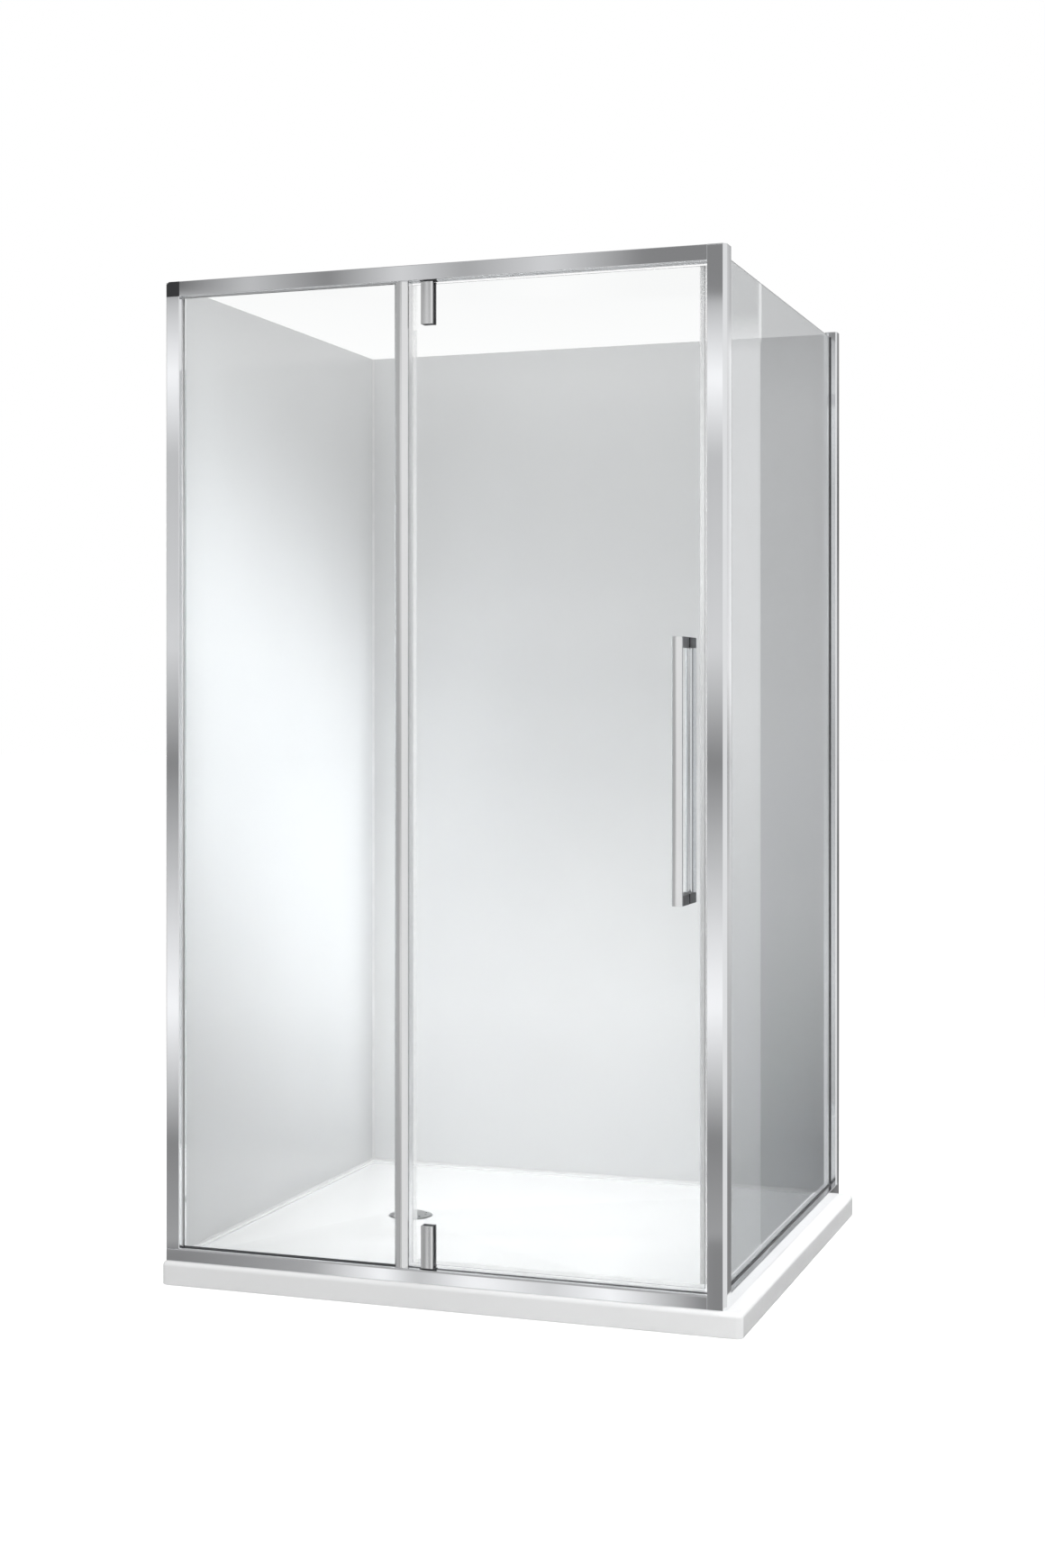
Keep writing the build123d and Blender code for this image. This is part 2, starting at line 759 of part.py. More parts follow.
def pivot_inner_half():
    """Inner clamp plate with the boss that fills the glass notch round the bush."""
    plate = upright(plate_section(block_half, block_depth_half), 0, block_height)
    long_edges = plate.edges().filter_by(Axis.Z).sort_by(Axis.Y)[-2:]
    plate = fillet(long_edges, block_round)
    boss = rect(-notch_width / 2, -block_half, notch_width / 2, block_half)
    boss = upright(boss, 0, bush_length + block_half)
    plate += boss & notch(notch_clearance)
    plate -= bush_bore()
    for z in clamp_screw_heights():
        plate -= rod_y(clamp_screw_radius + screw_hole_clearance, 0, z, 0, 2 * block_depth_half)
        plate -= countersink(z, screw_hole_clearance)
    return plate


def countersink(z, clearance):
    """Cone of a clamp screw's head, flush with the inner plate."""
    face = block_depth_half
    outline = make_face(Polyline(
        (0, face + clearance), (clamp_head_radius + clearance, face + clearance),
        (clamp_screw_radius + clearance, face - clamp_head_depth), (0, face - clamp_head_depth), close=True))
    return Pos(0, 0, z) * revolve(outline, Axis.Y)


def pivot_face():
    """Crowned satin face clipped to the front of a pivot block."""
    half = block_width / 2
    back = -block_depth_half + block_face
    edge = -block_depth_half + block_crown
    outline = make_face(
        ThreePointArc((-half, edge), (0, -block_depth_half), (half, edge))
        + Polyline((half, edge), (half, back), (-half, back), (-half, edge)))
    return upright(outline, 0, block_height)


def pivot_gasket(side):
    """Thin pad between the glass and one clamp plate."""
    near, far = sorted((side * glass_thickness / 2, side * block_half))
    glass_foot = door_bottom - block_foot
    pad = block((-block_width / 2, near, glass_foot), (block_width / 2, far, block_height))
    pad -= notch(0)
    for z in clamp_screw_heights():
        pad -= rod_y(clamp_hole_radius, 0, z, -block_depth_half, block_depth_half)
    return pad


def pivot_gaskets():
    """The four pads of the two pivots."""
    pads = [place(pivot_gasket(side)).solid() for place in (at_foot, at_head) for side in (-1, 1)]
    return Compound(children=pads)


def clamp_screw(z):
    """Countersunk screw that draws the two clamp plates together."""
    shank = rod_y(clamp_screw_radius, 0, z, -block_depth_half + block_face + 2 * clamp_screw_end,
                  block_depth_half - clamp_head_depth)
    return shank + countersink(z, 0)


def clamp_screws():
    """The four clamp screws of the two pivots."""
    screws = [place(clamp_screw(z)).solid() for place in (at_foot, at_head) for z in clamp_screw_heights()]
    return Compound(children=screws)


def pivot_bush():
    """Flanged bush in the block, turning on the fixed pin."""
    bore = pin_radius + pin_fit
    outline = [(bore, -bush_flange), (bush_flange_radius, -bush_flange), (bush_flange_radius, 0),
               (bush_radius, 0), (bush_radius, bush_length), (bore, bush_length)]
    return turned(outline, 0, 0)


def pivot_pin():
    """Fixed pin from the seat up into the bush, with a chamfered tip."""
    seat_face = -bush_flange - running_gap - seat_plate
    outline = [(0, seat_face - pin_in_seat), (pin_radius, seat_face - pin_in_seat),
               (pin_radius, pin_in_block - pin_tip), (pin_radius - pin_tip, pin_in_block), (0, pin_in_block)]
    return turned(outline, 0, 0)


def pivot_seat():
    """Seat that fills the rail's pocket and carries the pin, with a thin wear plate on top."""
    seat_face = -bush_flange - running_gap - seat_plate
    half = seat_length / 2
    body = block((-half, -pocket_half, seat_face - pocket_depth), (half, pocket_half, seat_face))
    plate = block((-half, -seat_plate_depth / 2, seat_face),
                  (half, seat_plate_depth / 2, seat_face + seat_plate))
    bore = rod_z(pin_radius + pin_fit, 0, 0, seat_face - pin_in_seat, seat_face + seat_plate + 1)
    return body + plate - bore


def clip_section(base_out):
    """Seal clip on a glass edge at x = 0, its legs reaching back along -x and its base standing out."""
    half = glass_thickness / 2 + clip_wall
    outer = rect(-clip_leg, -half, base_out, half)
    return outer - rect(-clip_leg - 1, -glass_thickness / 2, 0, glass_thickness / 2)


def door_edge_seal():
    """Bulb seal on the door's pivot edge, just clear of the mullion all through the swing."""
    bulb = mullion_gap - clip_base - seal_clearance
    section = clip_section(clip_base) + Pos(clip_base, 0) * Circle(bulb)
    section -= rect(-clip_leg - 1, -glass_thickness / 2, 0, glass_thickness / 2)
    section = Pos(door_left, front_glass_y) * Rot(0, 0, 180) * section
    return upright(section, door_bottom + clip_leg, door_top)


def door_magnet_seal():
    """Magnetic seal on the door's closing edge."""
    reach = clip_base + magnet_nose
    section = clip_section(clip_base) + rect(0, -magnet_half_width, reach, magnet_half_width)
    section = Pos(door_right, front_glass_y) * section
    return upright(section, door_bottom + clip_leg, door_top)


def post_magnet_strip():
    """Magnetic strip seated in the post, facing the door's."""
    proud = strike_gap - clip_base - magnet_nose - magnet_gap
    strip = rect(post_left - proud, front_glass_y - magnet_half_width, post_left + strip_seat,
                 front_glass_y + magnet_half_width)
    return upright(strip, sill_top, rail_bottom)


def drip_seal():
    """Clip under the door with a leaning fin that sheds water back over the sill."""
    fin_foot = sill_top + drip_clearance - door_bottom
    clip = Rot(0, 0, -90) * clip_section(clip_base)
    fin = make_face(Polyline((-drip_fin, -clip_base), (drip_fin, -clip_base),
                             (drip_fin + drip_lean, fin_foot), (drip_lean, fin_foot), close=True))
    section = Pos(front_glass_y, door_bottom) * (clip + fin)
    block_gap = block_width / 2 + seal_end_gap
    short = along_x(section, door_left, pivot_x - block_gap)
    long = along_x(section, pivot_x + block_gap, door_right)
    return Compound(children=[short.solid(), long.solid()])


def handle_bar(side):
    """Round tube of the pull handle, closed at both ends; side is -1 outside and 1 inside."""
    y = front_glass_y + side * bar_offset
    low, high = handle_z - handle_length / 2, handle_z + handle_length / 2
    tube = rod_z(bar_radius, handle_x, y, low, high)
    return tube - rod_z(bar_radius - bar_wall, handle_x, y, low + end_disc, high - end_disc)


def handle_posts(side):
    """Two stand-off blocks that saddle the bar and clamp on the glass."""
    posts = []
    for z in (handle_z - handle_reach, handle_z + handle_reach):
        start = side * (glass_thickness / 2 + handle_washer)
        near, far = sorted((front_glass_y + start, front_glass_y + side * bar_offset))
        post = block((handle_x - bar_radius, near, z - post_block_height / 2),
                     (handle_x + bar_radius, far, z + post_block_height / 2))
        post -= rod_z(bar_radius + stud_fit, handle_x, front_glass_y + side * bar_offset, 0, frame_top)
        reach = front_glass_y + side * (glass_thickness / 2 + handle_washer + stud_reach)
        bore_near, bore_far = sorted((front_glass_y, reach))
        post -= rod_y(stud_radius + stud_fit, handle_x, z, bore_near, bore_far)
        posts.append(post.solid())
    return Compound(children=posts)


def handle_studs():
    """Studs that draw the inner and outer posts together through the glass."""
    reach = glass_thickness / 2 + handle_washer + stud_reach - stud_fit
    levels = (handle_z - handle_reach, handle_z + handle_reach)
    studs = [rod_y(stud_radius, handle_x, z, front_glass_y - reach, front_glass_y + reach) for z in levels]
    return Compound(children=[s.solid() for s in studs])


def handle_washers():
    """Flanged sleeves that keep the posts and studs off the glass."""
    washers = []
    for z in (handle_z - handle_reach, handle_z + handle_reach):
        for side in (-1, 1):
            bore = stud_radius + stud_fit
            face = side * glass_thickness / 2
            flange = sorted((front_glass_y + face, front_glass_y + face + side * handle_washer))
            sleeve = sorted((front_glass_y + face, front_glass_y + side * stud_fit))
            washer = rod_y(handle_washer_radius, handle_x, z, *flange)
            washer += rod_y(bore + handle_sleeve_wall, handle_x, z, *sleeve)
            washer -= rod_y(bore, handle_x, z, front_glass_y - bar_offset, front_glass_y + bar_offset)
            washers.append(washer.solid())
    return Compound(children=washers)


parts = {
    "tray": tray(),
    "tray_core": tray_core(),
    "waste_body": waste_body(),
    "waste_gasket": waste_gasket_ring(),
    "waste_nut": waste_nut(),
    "waste_cover": waste_cover(),
    "left_wall_liner": left_liner(),
    "back_wall_liner": back_liner(),
    "corner_sealant": corner_sealant(),
    "foot_sealant": foot_sealant(),
    "left_wall_channel": left_wall_channel(),
    "rear_wall_channel": rear_wall_channel(),
    "left_jamb": left_jamb(),
    "rear_jamb": rear_jamb(),
    "rear_jamb_cap": rear_jamb_cap(),
    "jamb_screws": jamb_screws(),
    "corner_post": corner_post(),
    "post_cap": post_cap(),
    "top_rail": top_rail(),
    "top_corner_joiner": top_corner_joiner(),
    "front_sill": front_sill(),
    "side_rail": side_rail(),
    "mullion": mullion(),
    "top_rail_infill": pocket_infill(rail_bottom, rail_bottom + pocket_depth),
    "sill_infill": pocket_infill(sill_top, sill_top - pocket_depth),
    "fixed_glass": fixed_glass(),
    "fixed_glass_gaskets": fixed_glass_gaskets(),
    "side_glass": side_glass(),
    "side_glass_gaskets": side_glass_gaskets(),
    "door_glass": door_glass(),
    "lower_pivot_outer": at_foot(pivot_outer_half()),
    "lower_pivot_inner": at_foot(pivot_inner_half()),
    "lower_pivot_face": at_foot(pivot_face()),
    "lower_pivot_bush": at_foot(pivot_bush()),
    "lower_pivot_pin": at_foot(pivot_pin()),
    "lower_pivot_seat": at_foot(pivot_seat()),
    "upper_pivot_outer": at_head(pivot_outer_half()),
    "upper_pivot_inner": at_head(pivot_inner_half()),
    "upper_pivot_face": at_head(pivot_face()),
    "upper_pivot_bush": at_head(pivot_bush()),
    "upper_pivot_pin": at_head(pivot_pin()),
    "upper_pivot_seat": at_head(pivot_seat()),
    "pivot_gaskets": pivot_gaskets(),
    "clamp_screws": clamp_screws(),
    "door_edge_seal": door_edge_seal(),
    "door_magnet_seal": door_magnet_seal(),
    "post_magnet_strip": post_magnet_strip(),
    "drip_seal": drip_seal(),
    "handle_outer_bar": handle_bar(-1),
    "handle_inner_bar": handle_bar(1),
    "handle_outer_posts": handle_posts(-1),
    "handle_inner_posts": handle_posts(1),
    "handle_studs": handle_studs(),
    "handle_washers": handle_washers(),
}

os.makedirs("parts", exist_ok=True)
for name, shape in parts.items():
    export_step(shape, f"parts/{name}.step")
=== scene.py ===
import math

import bmesh
import bpy
from mathutils import Matrix, Vector


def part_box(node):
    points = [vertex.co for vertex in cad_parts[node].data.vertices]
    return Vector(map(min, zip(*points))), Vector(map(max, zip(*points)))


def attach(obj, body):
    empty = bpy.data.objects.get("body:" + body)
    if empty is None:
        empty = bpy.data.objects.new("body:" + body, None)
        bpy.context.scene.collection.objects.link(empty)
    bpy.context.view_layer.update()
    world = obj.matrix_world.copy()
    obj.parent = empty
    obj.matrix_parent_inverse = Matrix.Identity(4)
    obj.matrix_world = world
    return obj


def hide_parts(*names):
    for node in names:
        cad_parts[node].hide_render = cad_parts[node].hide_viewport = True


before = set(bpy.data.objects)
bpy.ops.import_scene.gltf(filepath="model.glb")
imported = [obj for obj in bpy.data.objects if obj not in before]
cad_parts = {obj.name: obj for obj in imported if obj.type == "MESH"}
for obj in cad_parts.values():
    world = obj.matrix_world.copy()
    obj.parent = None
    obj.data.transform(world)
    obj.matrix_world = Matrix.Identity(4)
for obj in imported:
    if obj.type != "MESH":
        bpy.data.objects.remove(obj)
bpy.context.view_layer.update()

bl_info = {
    "name": "Pivot Door Shower Enclosure",
    "version": (1, 0, 0),
    "blender": (4, 5, 0),
    "location": "View3D > Sidebar > Shower",
    "description": "Finishes the pieces of a framed shower enclosure and sets them in a plain studio",
    "category": "Object",
}

ROOT, DOOR, COVER = "frame_and_tray", "door", "cover"

# Display tones, from 0 to 255, of the bands in the surround that polished faces mirror
DEEP, SHADE, DUSK, DIM, MID, PALE, LIGHT, GLARE = 40, 70, 130, 165, 190, 210, 225, 250

# Heights above the horizon, in degrees, between which the front's bands give way to the rail's and the sill's
HEAD_RISE, SILL_RISE = (10.3, 10.5), (-13.3, -13.5)

# Directions in degrees, from the front towards the left, between which the parts of the surround change over
LEFT_TURN, RIGHT_TURN, REAR_JAMB_TURN = (30, 37), (10.6, 7), (13, 12.6)
SIDE_TURN, PANE_TURN, POST_TURN = (-158, -162), (-168.68, -168.64), (-166.09, -166.05)
PALE_STRIP_TURN, SEAM_START, SEAM_END = (-166.82, -166.8), (-166.85, -166.83), (-166.77, -166.79)
SEAM_RISE = (9.2, 9.4)

# Directions between which the bands of the head rail and the sill lie, and half the surround's upright scale
RAIL_FIRST, RAIL_LAST = 12, 30
SCALE_HALF = 0.3

# Strength of the bands, and how much bluer than red they are
GLOSS_STRENGTH, COOL_CAST = 1.15, 1.005

# Lamps: place, the point each is turned to, width and depth, then roll and cone in degrees
LAMPS = {
    "key": ((0.2, -0.3, 4.4), (0, 0, 0), (2.4, 2.4), 0, 70),
    "side": ((4.5, 0.26, 0.95), (-0.55, 0.26, 0.85), (2.6, 0.3), -24.8, 16),
    "low": ((0.2, -1.9, 2.7), (-0.1, 0.49, 0.3), (2.2, 0.4), 0, 30),
    "ledge": ((0.68, 0.0, 2.4), (0.56, 0.0, 0.04), (1.4, 0.25), 0, 24),
}
FLOOR_HALF, FLOOR_DROP, FLOOR_GLOW = 40, 0.0005, 0.55

# Camera: place, tilt and turn in degrees, upright shift and sensor width in millimetres
CAMERA_PLACE = (1.4557, -4.2028, 1.0776)
CAMERA_TILT, CAMERA_TURN, CAMERA_SHIFT, SENSOR_WIDTH = 90, 19.289, -0.0489, 36

# Rounding of edges by kind of piece, then the least turn in degrees of a sharp edge, and the shading's weight
TRAY_EASE, SHEET_EASE, SOFT_EASE, THIN_EASE, TUBE_EASE = 0.001, 0.0004, 0.0003, 0.0002, 0.0009
SHARP_TURN, TRAY_SHARP_TURN, SHADE_WEIGHT = 40, 50, 60

# Distance at which points of a frame node are one, and the turn in degrees at which its faces are
MERGE_DISTANCE, FLAT_TURN = 2e-6, 0.6

# Screws, as shares of the head's radius, and the depth of the socket as a share of the head's height
PAN_CROWN, PAN_HEIGHT, PAN_SHANK, PAN_SOCKET = 0.72, 0.57, 0.54, 0.4
SUNK_HEIGHT, SUNK_SHANK, SUNK_SOCKET, SEAT_WIDENING = 0.565, 0.53, 0.42, 1.02
SOCKET_DEPTH, SCREW_OVERLAP = 0.6, 0.0002

# Waste cover: skirt and ring of holes as shares of its radius, then sizes
COVER_SKIRT, COVER_RING = 25 / 42, 33 / 42
SKIRT_WALL, SKIRT_DEPTH, COVER_RIM, COVER_SOFT, DOME_STEPS = 0.002, 0.012, 0.0012, 0.0003, 12
HOLE_COUNT, HOLE_RADIUS, WINDOW_COUNT, WINDOW_SIZE = 10, 0.0025, 4, (0.012, 0.009, 0.0192)

# Sides of the round shapes
TUBE_SIDES, COVER_SIDES, HOLE_SIDES, HEAD_SIDES, SHANK_SIDES, SOCKET_SIDES = 72, 96, 20, 32, 24, 6

# Glazing strips: height over the gaskets' foot where their painted shade ends and they turn pale, and how far
# back they stay pale before the painted shade at the rear jamb
PAINTED_SHADE_TOP, PAINTED_SHADE_REAR, TONE_CHANGE = 0.014, 0.3, 0.0002

# Scales of noise on rubbed and specked faces, and the depth of fine relief
RUB_SCALE, SPECK_SCALE, FINE_RELIEF = 22, 1400, 0.0002


# Sizes and colours that a user would change

class ShowerMetal(bpy.types.PropertyGroup):
    """Finishes of the metal and moulded fittings."""
    bright: bpy.props.FloatVectorProperty(
        name="Bright metal", description="Colour of the polished profiles", subtype="COLOR",
        size=3, default=(0.86, 0.87, 0.885), min=0, max=1)
    bright_roughness: bpy.props.FloatProperty(
        name="Bright roughness", description="Blur of the polished profiles' reflections",
        default=0.03, min=0, max=1)
    satin: bpy.props.FloatVectorProperty(
        name="Satin metal", description="Colour of the brushed faces", subtype="COLOR",
        size=3, default=(0.86, 0.865, 0.87), min=0, max=1)
    graphite: bpy.props.FloatVectorProperty(
        name="Graphite", description="Colour of the dark pivot blocks and handle posts", subtype="COLOR",
        size=3, default=(0.045, 0.046, 0.05), min=0, max=1)
    edge: bpy.props.FloatProperty(
        name="Edge ease", description="Rounding of the metal pieces' edges", subtype="DISTANCE",
        unit="LENGTH", default=0.0004, min=0.0001, max=0.002)


class ShowerGlass(bpy.types.PropertyGroup):
    """Finishes of the panes and seals."""
    tint: bpy.props.FloatVectorProperty(
        name="Glass tint", description="Colour of light that passes through a pane", subtype="COLOR",
        size=3, default=(0.985, 0.992, 0.99), min=0, max=1)
    arris: bpy.props.FloatProperty(
        name="Arris", description="Width of the ground edge on each pane", subtype="DISTANCE",
        unit="LENGTH", default=0.0006, min=0.0001, max=0.002)
    # Also the colour of the painted shade at the glazing strips' foot and rear end
    gasket: bpy.props.FloatVectorProperty(
        name="Gasket", description="Colour of the glazing gaskets", subtype="COLOR",
        size=3, default=(0.09, 0.092, 0.096), min=0, max=1)
    strip: bpy.props.FloatVectorProperty(
        name="Pale gasket", description="Colour of the upright and head gaskets", subtype="COLOR",
        size=3, default=(0.72, 0.725, 0.73), min=0, max=1)
    seal: bpy.props.FloatVectorProperty(
        name="Seal", description="Colour of the clear door seals", subtype="COLOR",
        size=3, default=(0.97, 0.975, 0.98), min=0, max=1)
    # Painted shade: the return panel's tint is darker than the front panes' so that it reads grey
    side_painted_shade_tint: bpy.props.FloatVectorProperty(
        name="Side glass tint", description="Colour of light that passes through the return panel",
        subtype="COLOR", size=3, default=(0.71, 0.725, 0.735), min=0, max=1)


class ShowerWhites(bpy.types.PropertyGroup):
    """Finishes of the tray and the wall liners."""
    tray: bpy.props.FloatVectorProperty(
        name="Tray", description="Colour of the gloss tray", subtype="COLOR",
        size=3, default=(0.93, 0.933, 0.936), min=0, max=1)
    liner: bpy.props.FloatVectorProperty(
        name="Liner", description="Colour of the wall liners", subtype="COLOR",
        size=3, default=(0.76, 0.765, 0.77), min=0, max=1)
    liner_roughness: bpy.props.FloatProperty(
        name="Liner roughness", description="Blur of the liners' gloss", default=0.16, min=0, max=1)


class ShowerStudio(bpy.types.PropertyGroup):
    """Floor, lamps and camera."""
    floor: bpy.props.FloatVectorProperty(
        name="Floor", description="Colour of the studio floor", subtype="COLOR",
        size=3, default=(0.8, 0.8, 0.8), min=0, max=1)
    fill: bpy.props.FloatProperty(
        name="Fill", description="Strength of the light from all round", default=0.58, min=0, max=4)
    key: bpy.props.FloatProperty(
        name="Key lamp", description="Power of the overhead lamp", subtype="POWER", unit="POWER",
        default=26, min=0, max=2000)
    side: bpy.props.FloatProperty(
        name="Side lamp", description="Power of the slanted lamp that crosses the left wall", subtype="POWER",
        unit="POWER", default=9.5, min=0, max=2000)
    low: bpy.props.FloatProperty(
        name="Low lamp", description="Power of the lamp that lifts the foot of the back wall",
        subtype="POWER", unit="POWER", default=3, min=0, max=2000)
    ledge: bpy.props.FloatProperty(
        name="Ledge lamp", description="Power of the lamp over the tray's rim outside the side pane",
        subtype="POWER", unit="POWER", default=1.3, min=0, max=2000)
    lens: bpy.props.FloatProperty(
        name="Lens", description="Focal length of the camera in millimetres", default=51.13, min=10, max=300)


# Meshes

def new_object(name, mesh):
    """Object at the origin that holds this mesh."""
    obj = bpy.data.objects.new(name, mesh)
    bpy.context.scene.collection.objects.link(obj)
    return obj


def plain(obj):
    """The same object with its modifiers turned into mesh."""
    bpy.context.view_layer.update()
    depsgraph = bpy.context.evaluated_depsgraph_get()
    mesh = bpy.data.meshes.new_from_object(obj.evaluated_get(depsgraph))
    obj.modifiers.clear()
    obj.data = mesh
    return obj


def from_bmesh(name, bm):
    """Object made from a bmesh, its faces turned outwards and shaded smooth."""
    bmesh.ops.recalc_face_normals(bm, faces=bm.faces)
    mesh = bpy.data.meshes.new(name)
    bm.to_mesh(mesh)
    bm.free()
    mesh.polygons.foreach_set("use_smooth", [True] * len(mesh.polygons))
    return new_object(name, mesh)


def eased(obj, width, angle=SHARP_TURN, segments=2):
    """Rounds the object's sharp edges and evens its shading."""
    bevel = obj.modifiers.new("Ease", "BEVEL")
    bevel.width = width
    bevel.segments = segments
    bevel.limit_method = "ANGLE"
    bevel.angle_limit = math.radians(angle)
    bevel.use_clamp_overlap = True
    shade = obj.modifiers.new("Shade", "WEIGHTED_NORMAL")
    shade.weight = SHADE_WEIGHT
    return plain(obj)


def solid_copy(name, node):
    """Closed copy of a frame node, with flat faces merged."""
    bm = bmesh.new()
    bm.from_mesh(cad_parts[node].data)
    bmesh.ops.remove_doubles(bm, verts=bm.verts, dist=MERGE_DISTANCE)
    bmesh.ops.dissolve_limit(bm, angle_limit=math.radians(FLAT_TURN), verts=bm.verts, edges=bm.edges)
    return from_bmesh(name, bm)


def lathe(name, profile, centre, steps=TUBE_SIDES):
    """Profile of (radius, height) turned about the upright through a centre; it starts and ends on it."""
    bm = bmesh.new()
    rings = []
    for radius, height in profile:
        if radius == 0:
            rings.append([bm.verts.new((0, 0, height))])
            continue
        ring = []
        for step in range(steps):
            turn = 2 * math.pi * step / steps
            ring.append(bm.verts.new((radius * math.cos(turn), radius * math.sin(turn), height)))
        rings.append(ring)
    for low, high in zip(rings, rings[1:]):
        for step in range(steps):
            after = (step + 1) % steps
            if len(low) == 1:
                bm.faces.new((low[0], high[step], high[after]))
            elif len(high) == 1:
                bm.faces.new((low[step], low[after], high[0]))
            else:
                bm.faces.new((low[step], low[after], high[after], high[step]))
    bmesh.ops.translate(bm, vec=centre, verts=bm.verts)
    return from_bmesh(name, bm)


def solids(node):
    """Box of each separate solid in a frame node, from the lowest up."""
    bm = bmesh.new()
    bm.from_mesh(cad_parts[node].data)
    bmesh.ops.remove_doubles(bm, verts=bm.verts, dist=MERGE_DISTANCE)
    left = set(bm.verts)
    found = []
    while left:
        todo, group = [left.pop()], []
        while todo:
            vert = todo.pop()
            group.append(vert.co.copy())
            for edge in vert.link_edges:
                other = edge.other_vert(vert)
                if other in left:
                    left.remove(other)
                    todo.append(other)
        low = Vector([min(v[i] for v in group) for i in range(3)])
        high = Vector([max(v[i] for v in group) for i in range(3)])
        found.append((low, high))
    bm.free()
    return sorted(found, key=lambda box: (round(box[0].z, 4), box[0].x))


def node_group(name, inputs):
    """Geometry Nodes tree with a geometry in and out and named inputs: the tree, its input and its output."""
    tree = bpy.data.node_groups.new(name, "GeometryNodeTree")
    tree.interface.new_socket("Geometry", in_out="INPUT", socket_type="NodeSocketGeometry")
    for label, kind in inputs:
        tree.interface.new_socket(label, in_out="INPUT", socket_type="NodeSocket" + kind)
    tree.interface.new_socket("Geometry", in_out="OUTPUT", socket_type="NodeSocketGeometry")
    return tree, add(tree, "NodeGroupInput"), add(tree, "NodeGroupOutput")


def grow(obj, tree, values):
    """Runs a tree on an object with its inputs set by name, and leaves a plain mesh."""
    modifier = obj.modifiers.new("Pattern", "NODES")
    modifier.node_group = tree
    for item in tree.interface.items_tree:
        if item.in_out == "INPUT" and item.name in values:
            modifier[item.identifier] = values[item.name]
    return plain(obj)


def connect(tree, *links):
    """Joins sockets in pairs: from one node's output to another's input, by name or number."""
    for (source, out), (target, into) in links:
        tree.links.new(source.outputs[out], target.inputs[into])


def feed(tree, target, value):
    """Gives an input its value: a number, a colour or a socket to link."""
    if isinstance(value, bpy.types.NodeSocket):
        tree.links.new(value, target)
    elif isinstance(value, tuple):
        target.default_value = (*value, 1)
    else:
        target.default_value = value


def math_node(tree, operation, first, second):
    """Result of an operation on two sockets or numbers."""
    node = add(tree, "ShaderNodeMath", operation=operation)
    feed(tree, node.inputs[0], first)
    feed(tree, node.inputs[1], second)
    return node.outputs[0]


def along_z(tree, height):
    """Vector that points up by a height."""
    node = add(tree, "ShaderNodeCombineXYZ")
    tree.links.new(height, node.inputs["Z"])
    return node.outputs[0]


def screw_row():
    """Tree: a row of screws with six-sided sockets, their heads up, from one end of a line to the other."""
    tree, given, result = node_group("Screw row", [
        ("Count", "Int"), ("Start", "Vector"), ("Step", "Vector"), ("Turn", "Vector"),
        ("Seat radius", "Float"), ("Crown radius", "Float"), ("Head height", "Float"),
        ("Shank radius", "Float"), ("Shank length", "Float"), ("Socket radius", "Float"),
        ("Socket depth", "Float"), ("Finish", "Material")])
    head = add(tree, "GeometryNodeMeshCone", {"Vertices": HEAD_SIDES})
    shank = add(tree, "GeometryNodeMeshCylinder", {"Vertices": SHANK_SIDES})
    socket = add(tree, "GeometryNodeMeshCylinder", {"Vertices": SOCKET_SIDES})
    lower = add(tree, "GeometryNodeTransform")
    sink = add(tree, "GeometryNodeTransform")
    whole = add(tree, "GeometryNodeMeshBoolean", operation="UNION")
    cut = add(tree, "GeometryNodeMeshBoolean", operation="DIFFERENCE")
    turned = add(tree, "GeometryNodeTransform")
    line = add(tree, "GeometryNodeMeshLine")
    spots = add(tree, "GeometryNodeInstanceOnPoints")
    real = add(tree, "GeometryNodeRealizeInstances")
    finish = add(tree, "GeometryNodeSetMaterial")
    down = math_node(tree, "MULTIPLY", given.outputs["Shank length"], -0.5)
    overlap = math_node(tree, "ADD", down, SCREW_OVERLAP)
    tree.links.new(along_z(tree, overlap), lower.inputs["Translation"])
    tree.links.new(along_z(tree, given.outputs["Head height"]), sink.inputs["Translation"])
    tree.links.new(math_node(tree, "MULTIPLY", given.outputs["Socket depth"], 2), socket.inputs["Depth"])
    connect(tree,
            ((given, "Seat radius"), (head, "Radius Bottom")),
            ((given, "Crown radius"), (head, "Radius Top")),
            ((given, "Head height"), (head, "Depth")), ((given, "Shank radius"), (shank, "Radius")),
            ((given, "Shank length"), (shank, "Depth")), ((given, "Socket radius"), (socket, "Radius")),
            ((shank, "Mesh"), (lower, "Geometry")), ((socket, "Mesh"), (sink, "Geometry")),
            ((head, "Mesh"), (whole, "Mesh 2")), ((lower, "Geometry"), (whole, "Mesh 2")),
            ((whole, "Mesh"), (cut, "Mesh 1")), ((sink, "Geometry"), (cut, "Mesh 2")),
            ((cut, "Mesh"), (turned, "Geometry")), ((given, "Turn"), (turned, "Rotation")),
            ((given, "Count"), (line, "Count")), ((given, "Start"), (line, "Start Location")),
            ((given, "Step"), (line, "Offset")), ((line, "Mesh"), (spots, "Points")),
            ((turned, "Geometry"), (spots, "Instance")), ((spots, "Instances"), (real, "Geometry")),
            ((real, "Geometry"), (finish, "Geometry")), ((given, "Finish"), (finish, "Material")),
            ((finish, "Geometry"), (result, "Geometry")))
    return tree


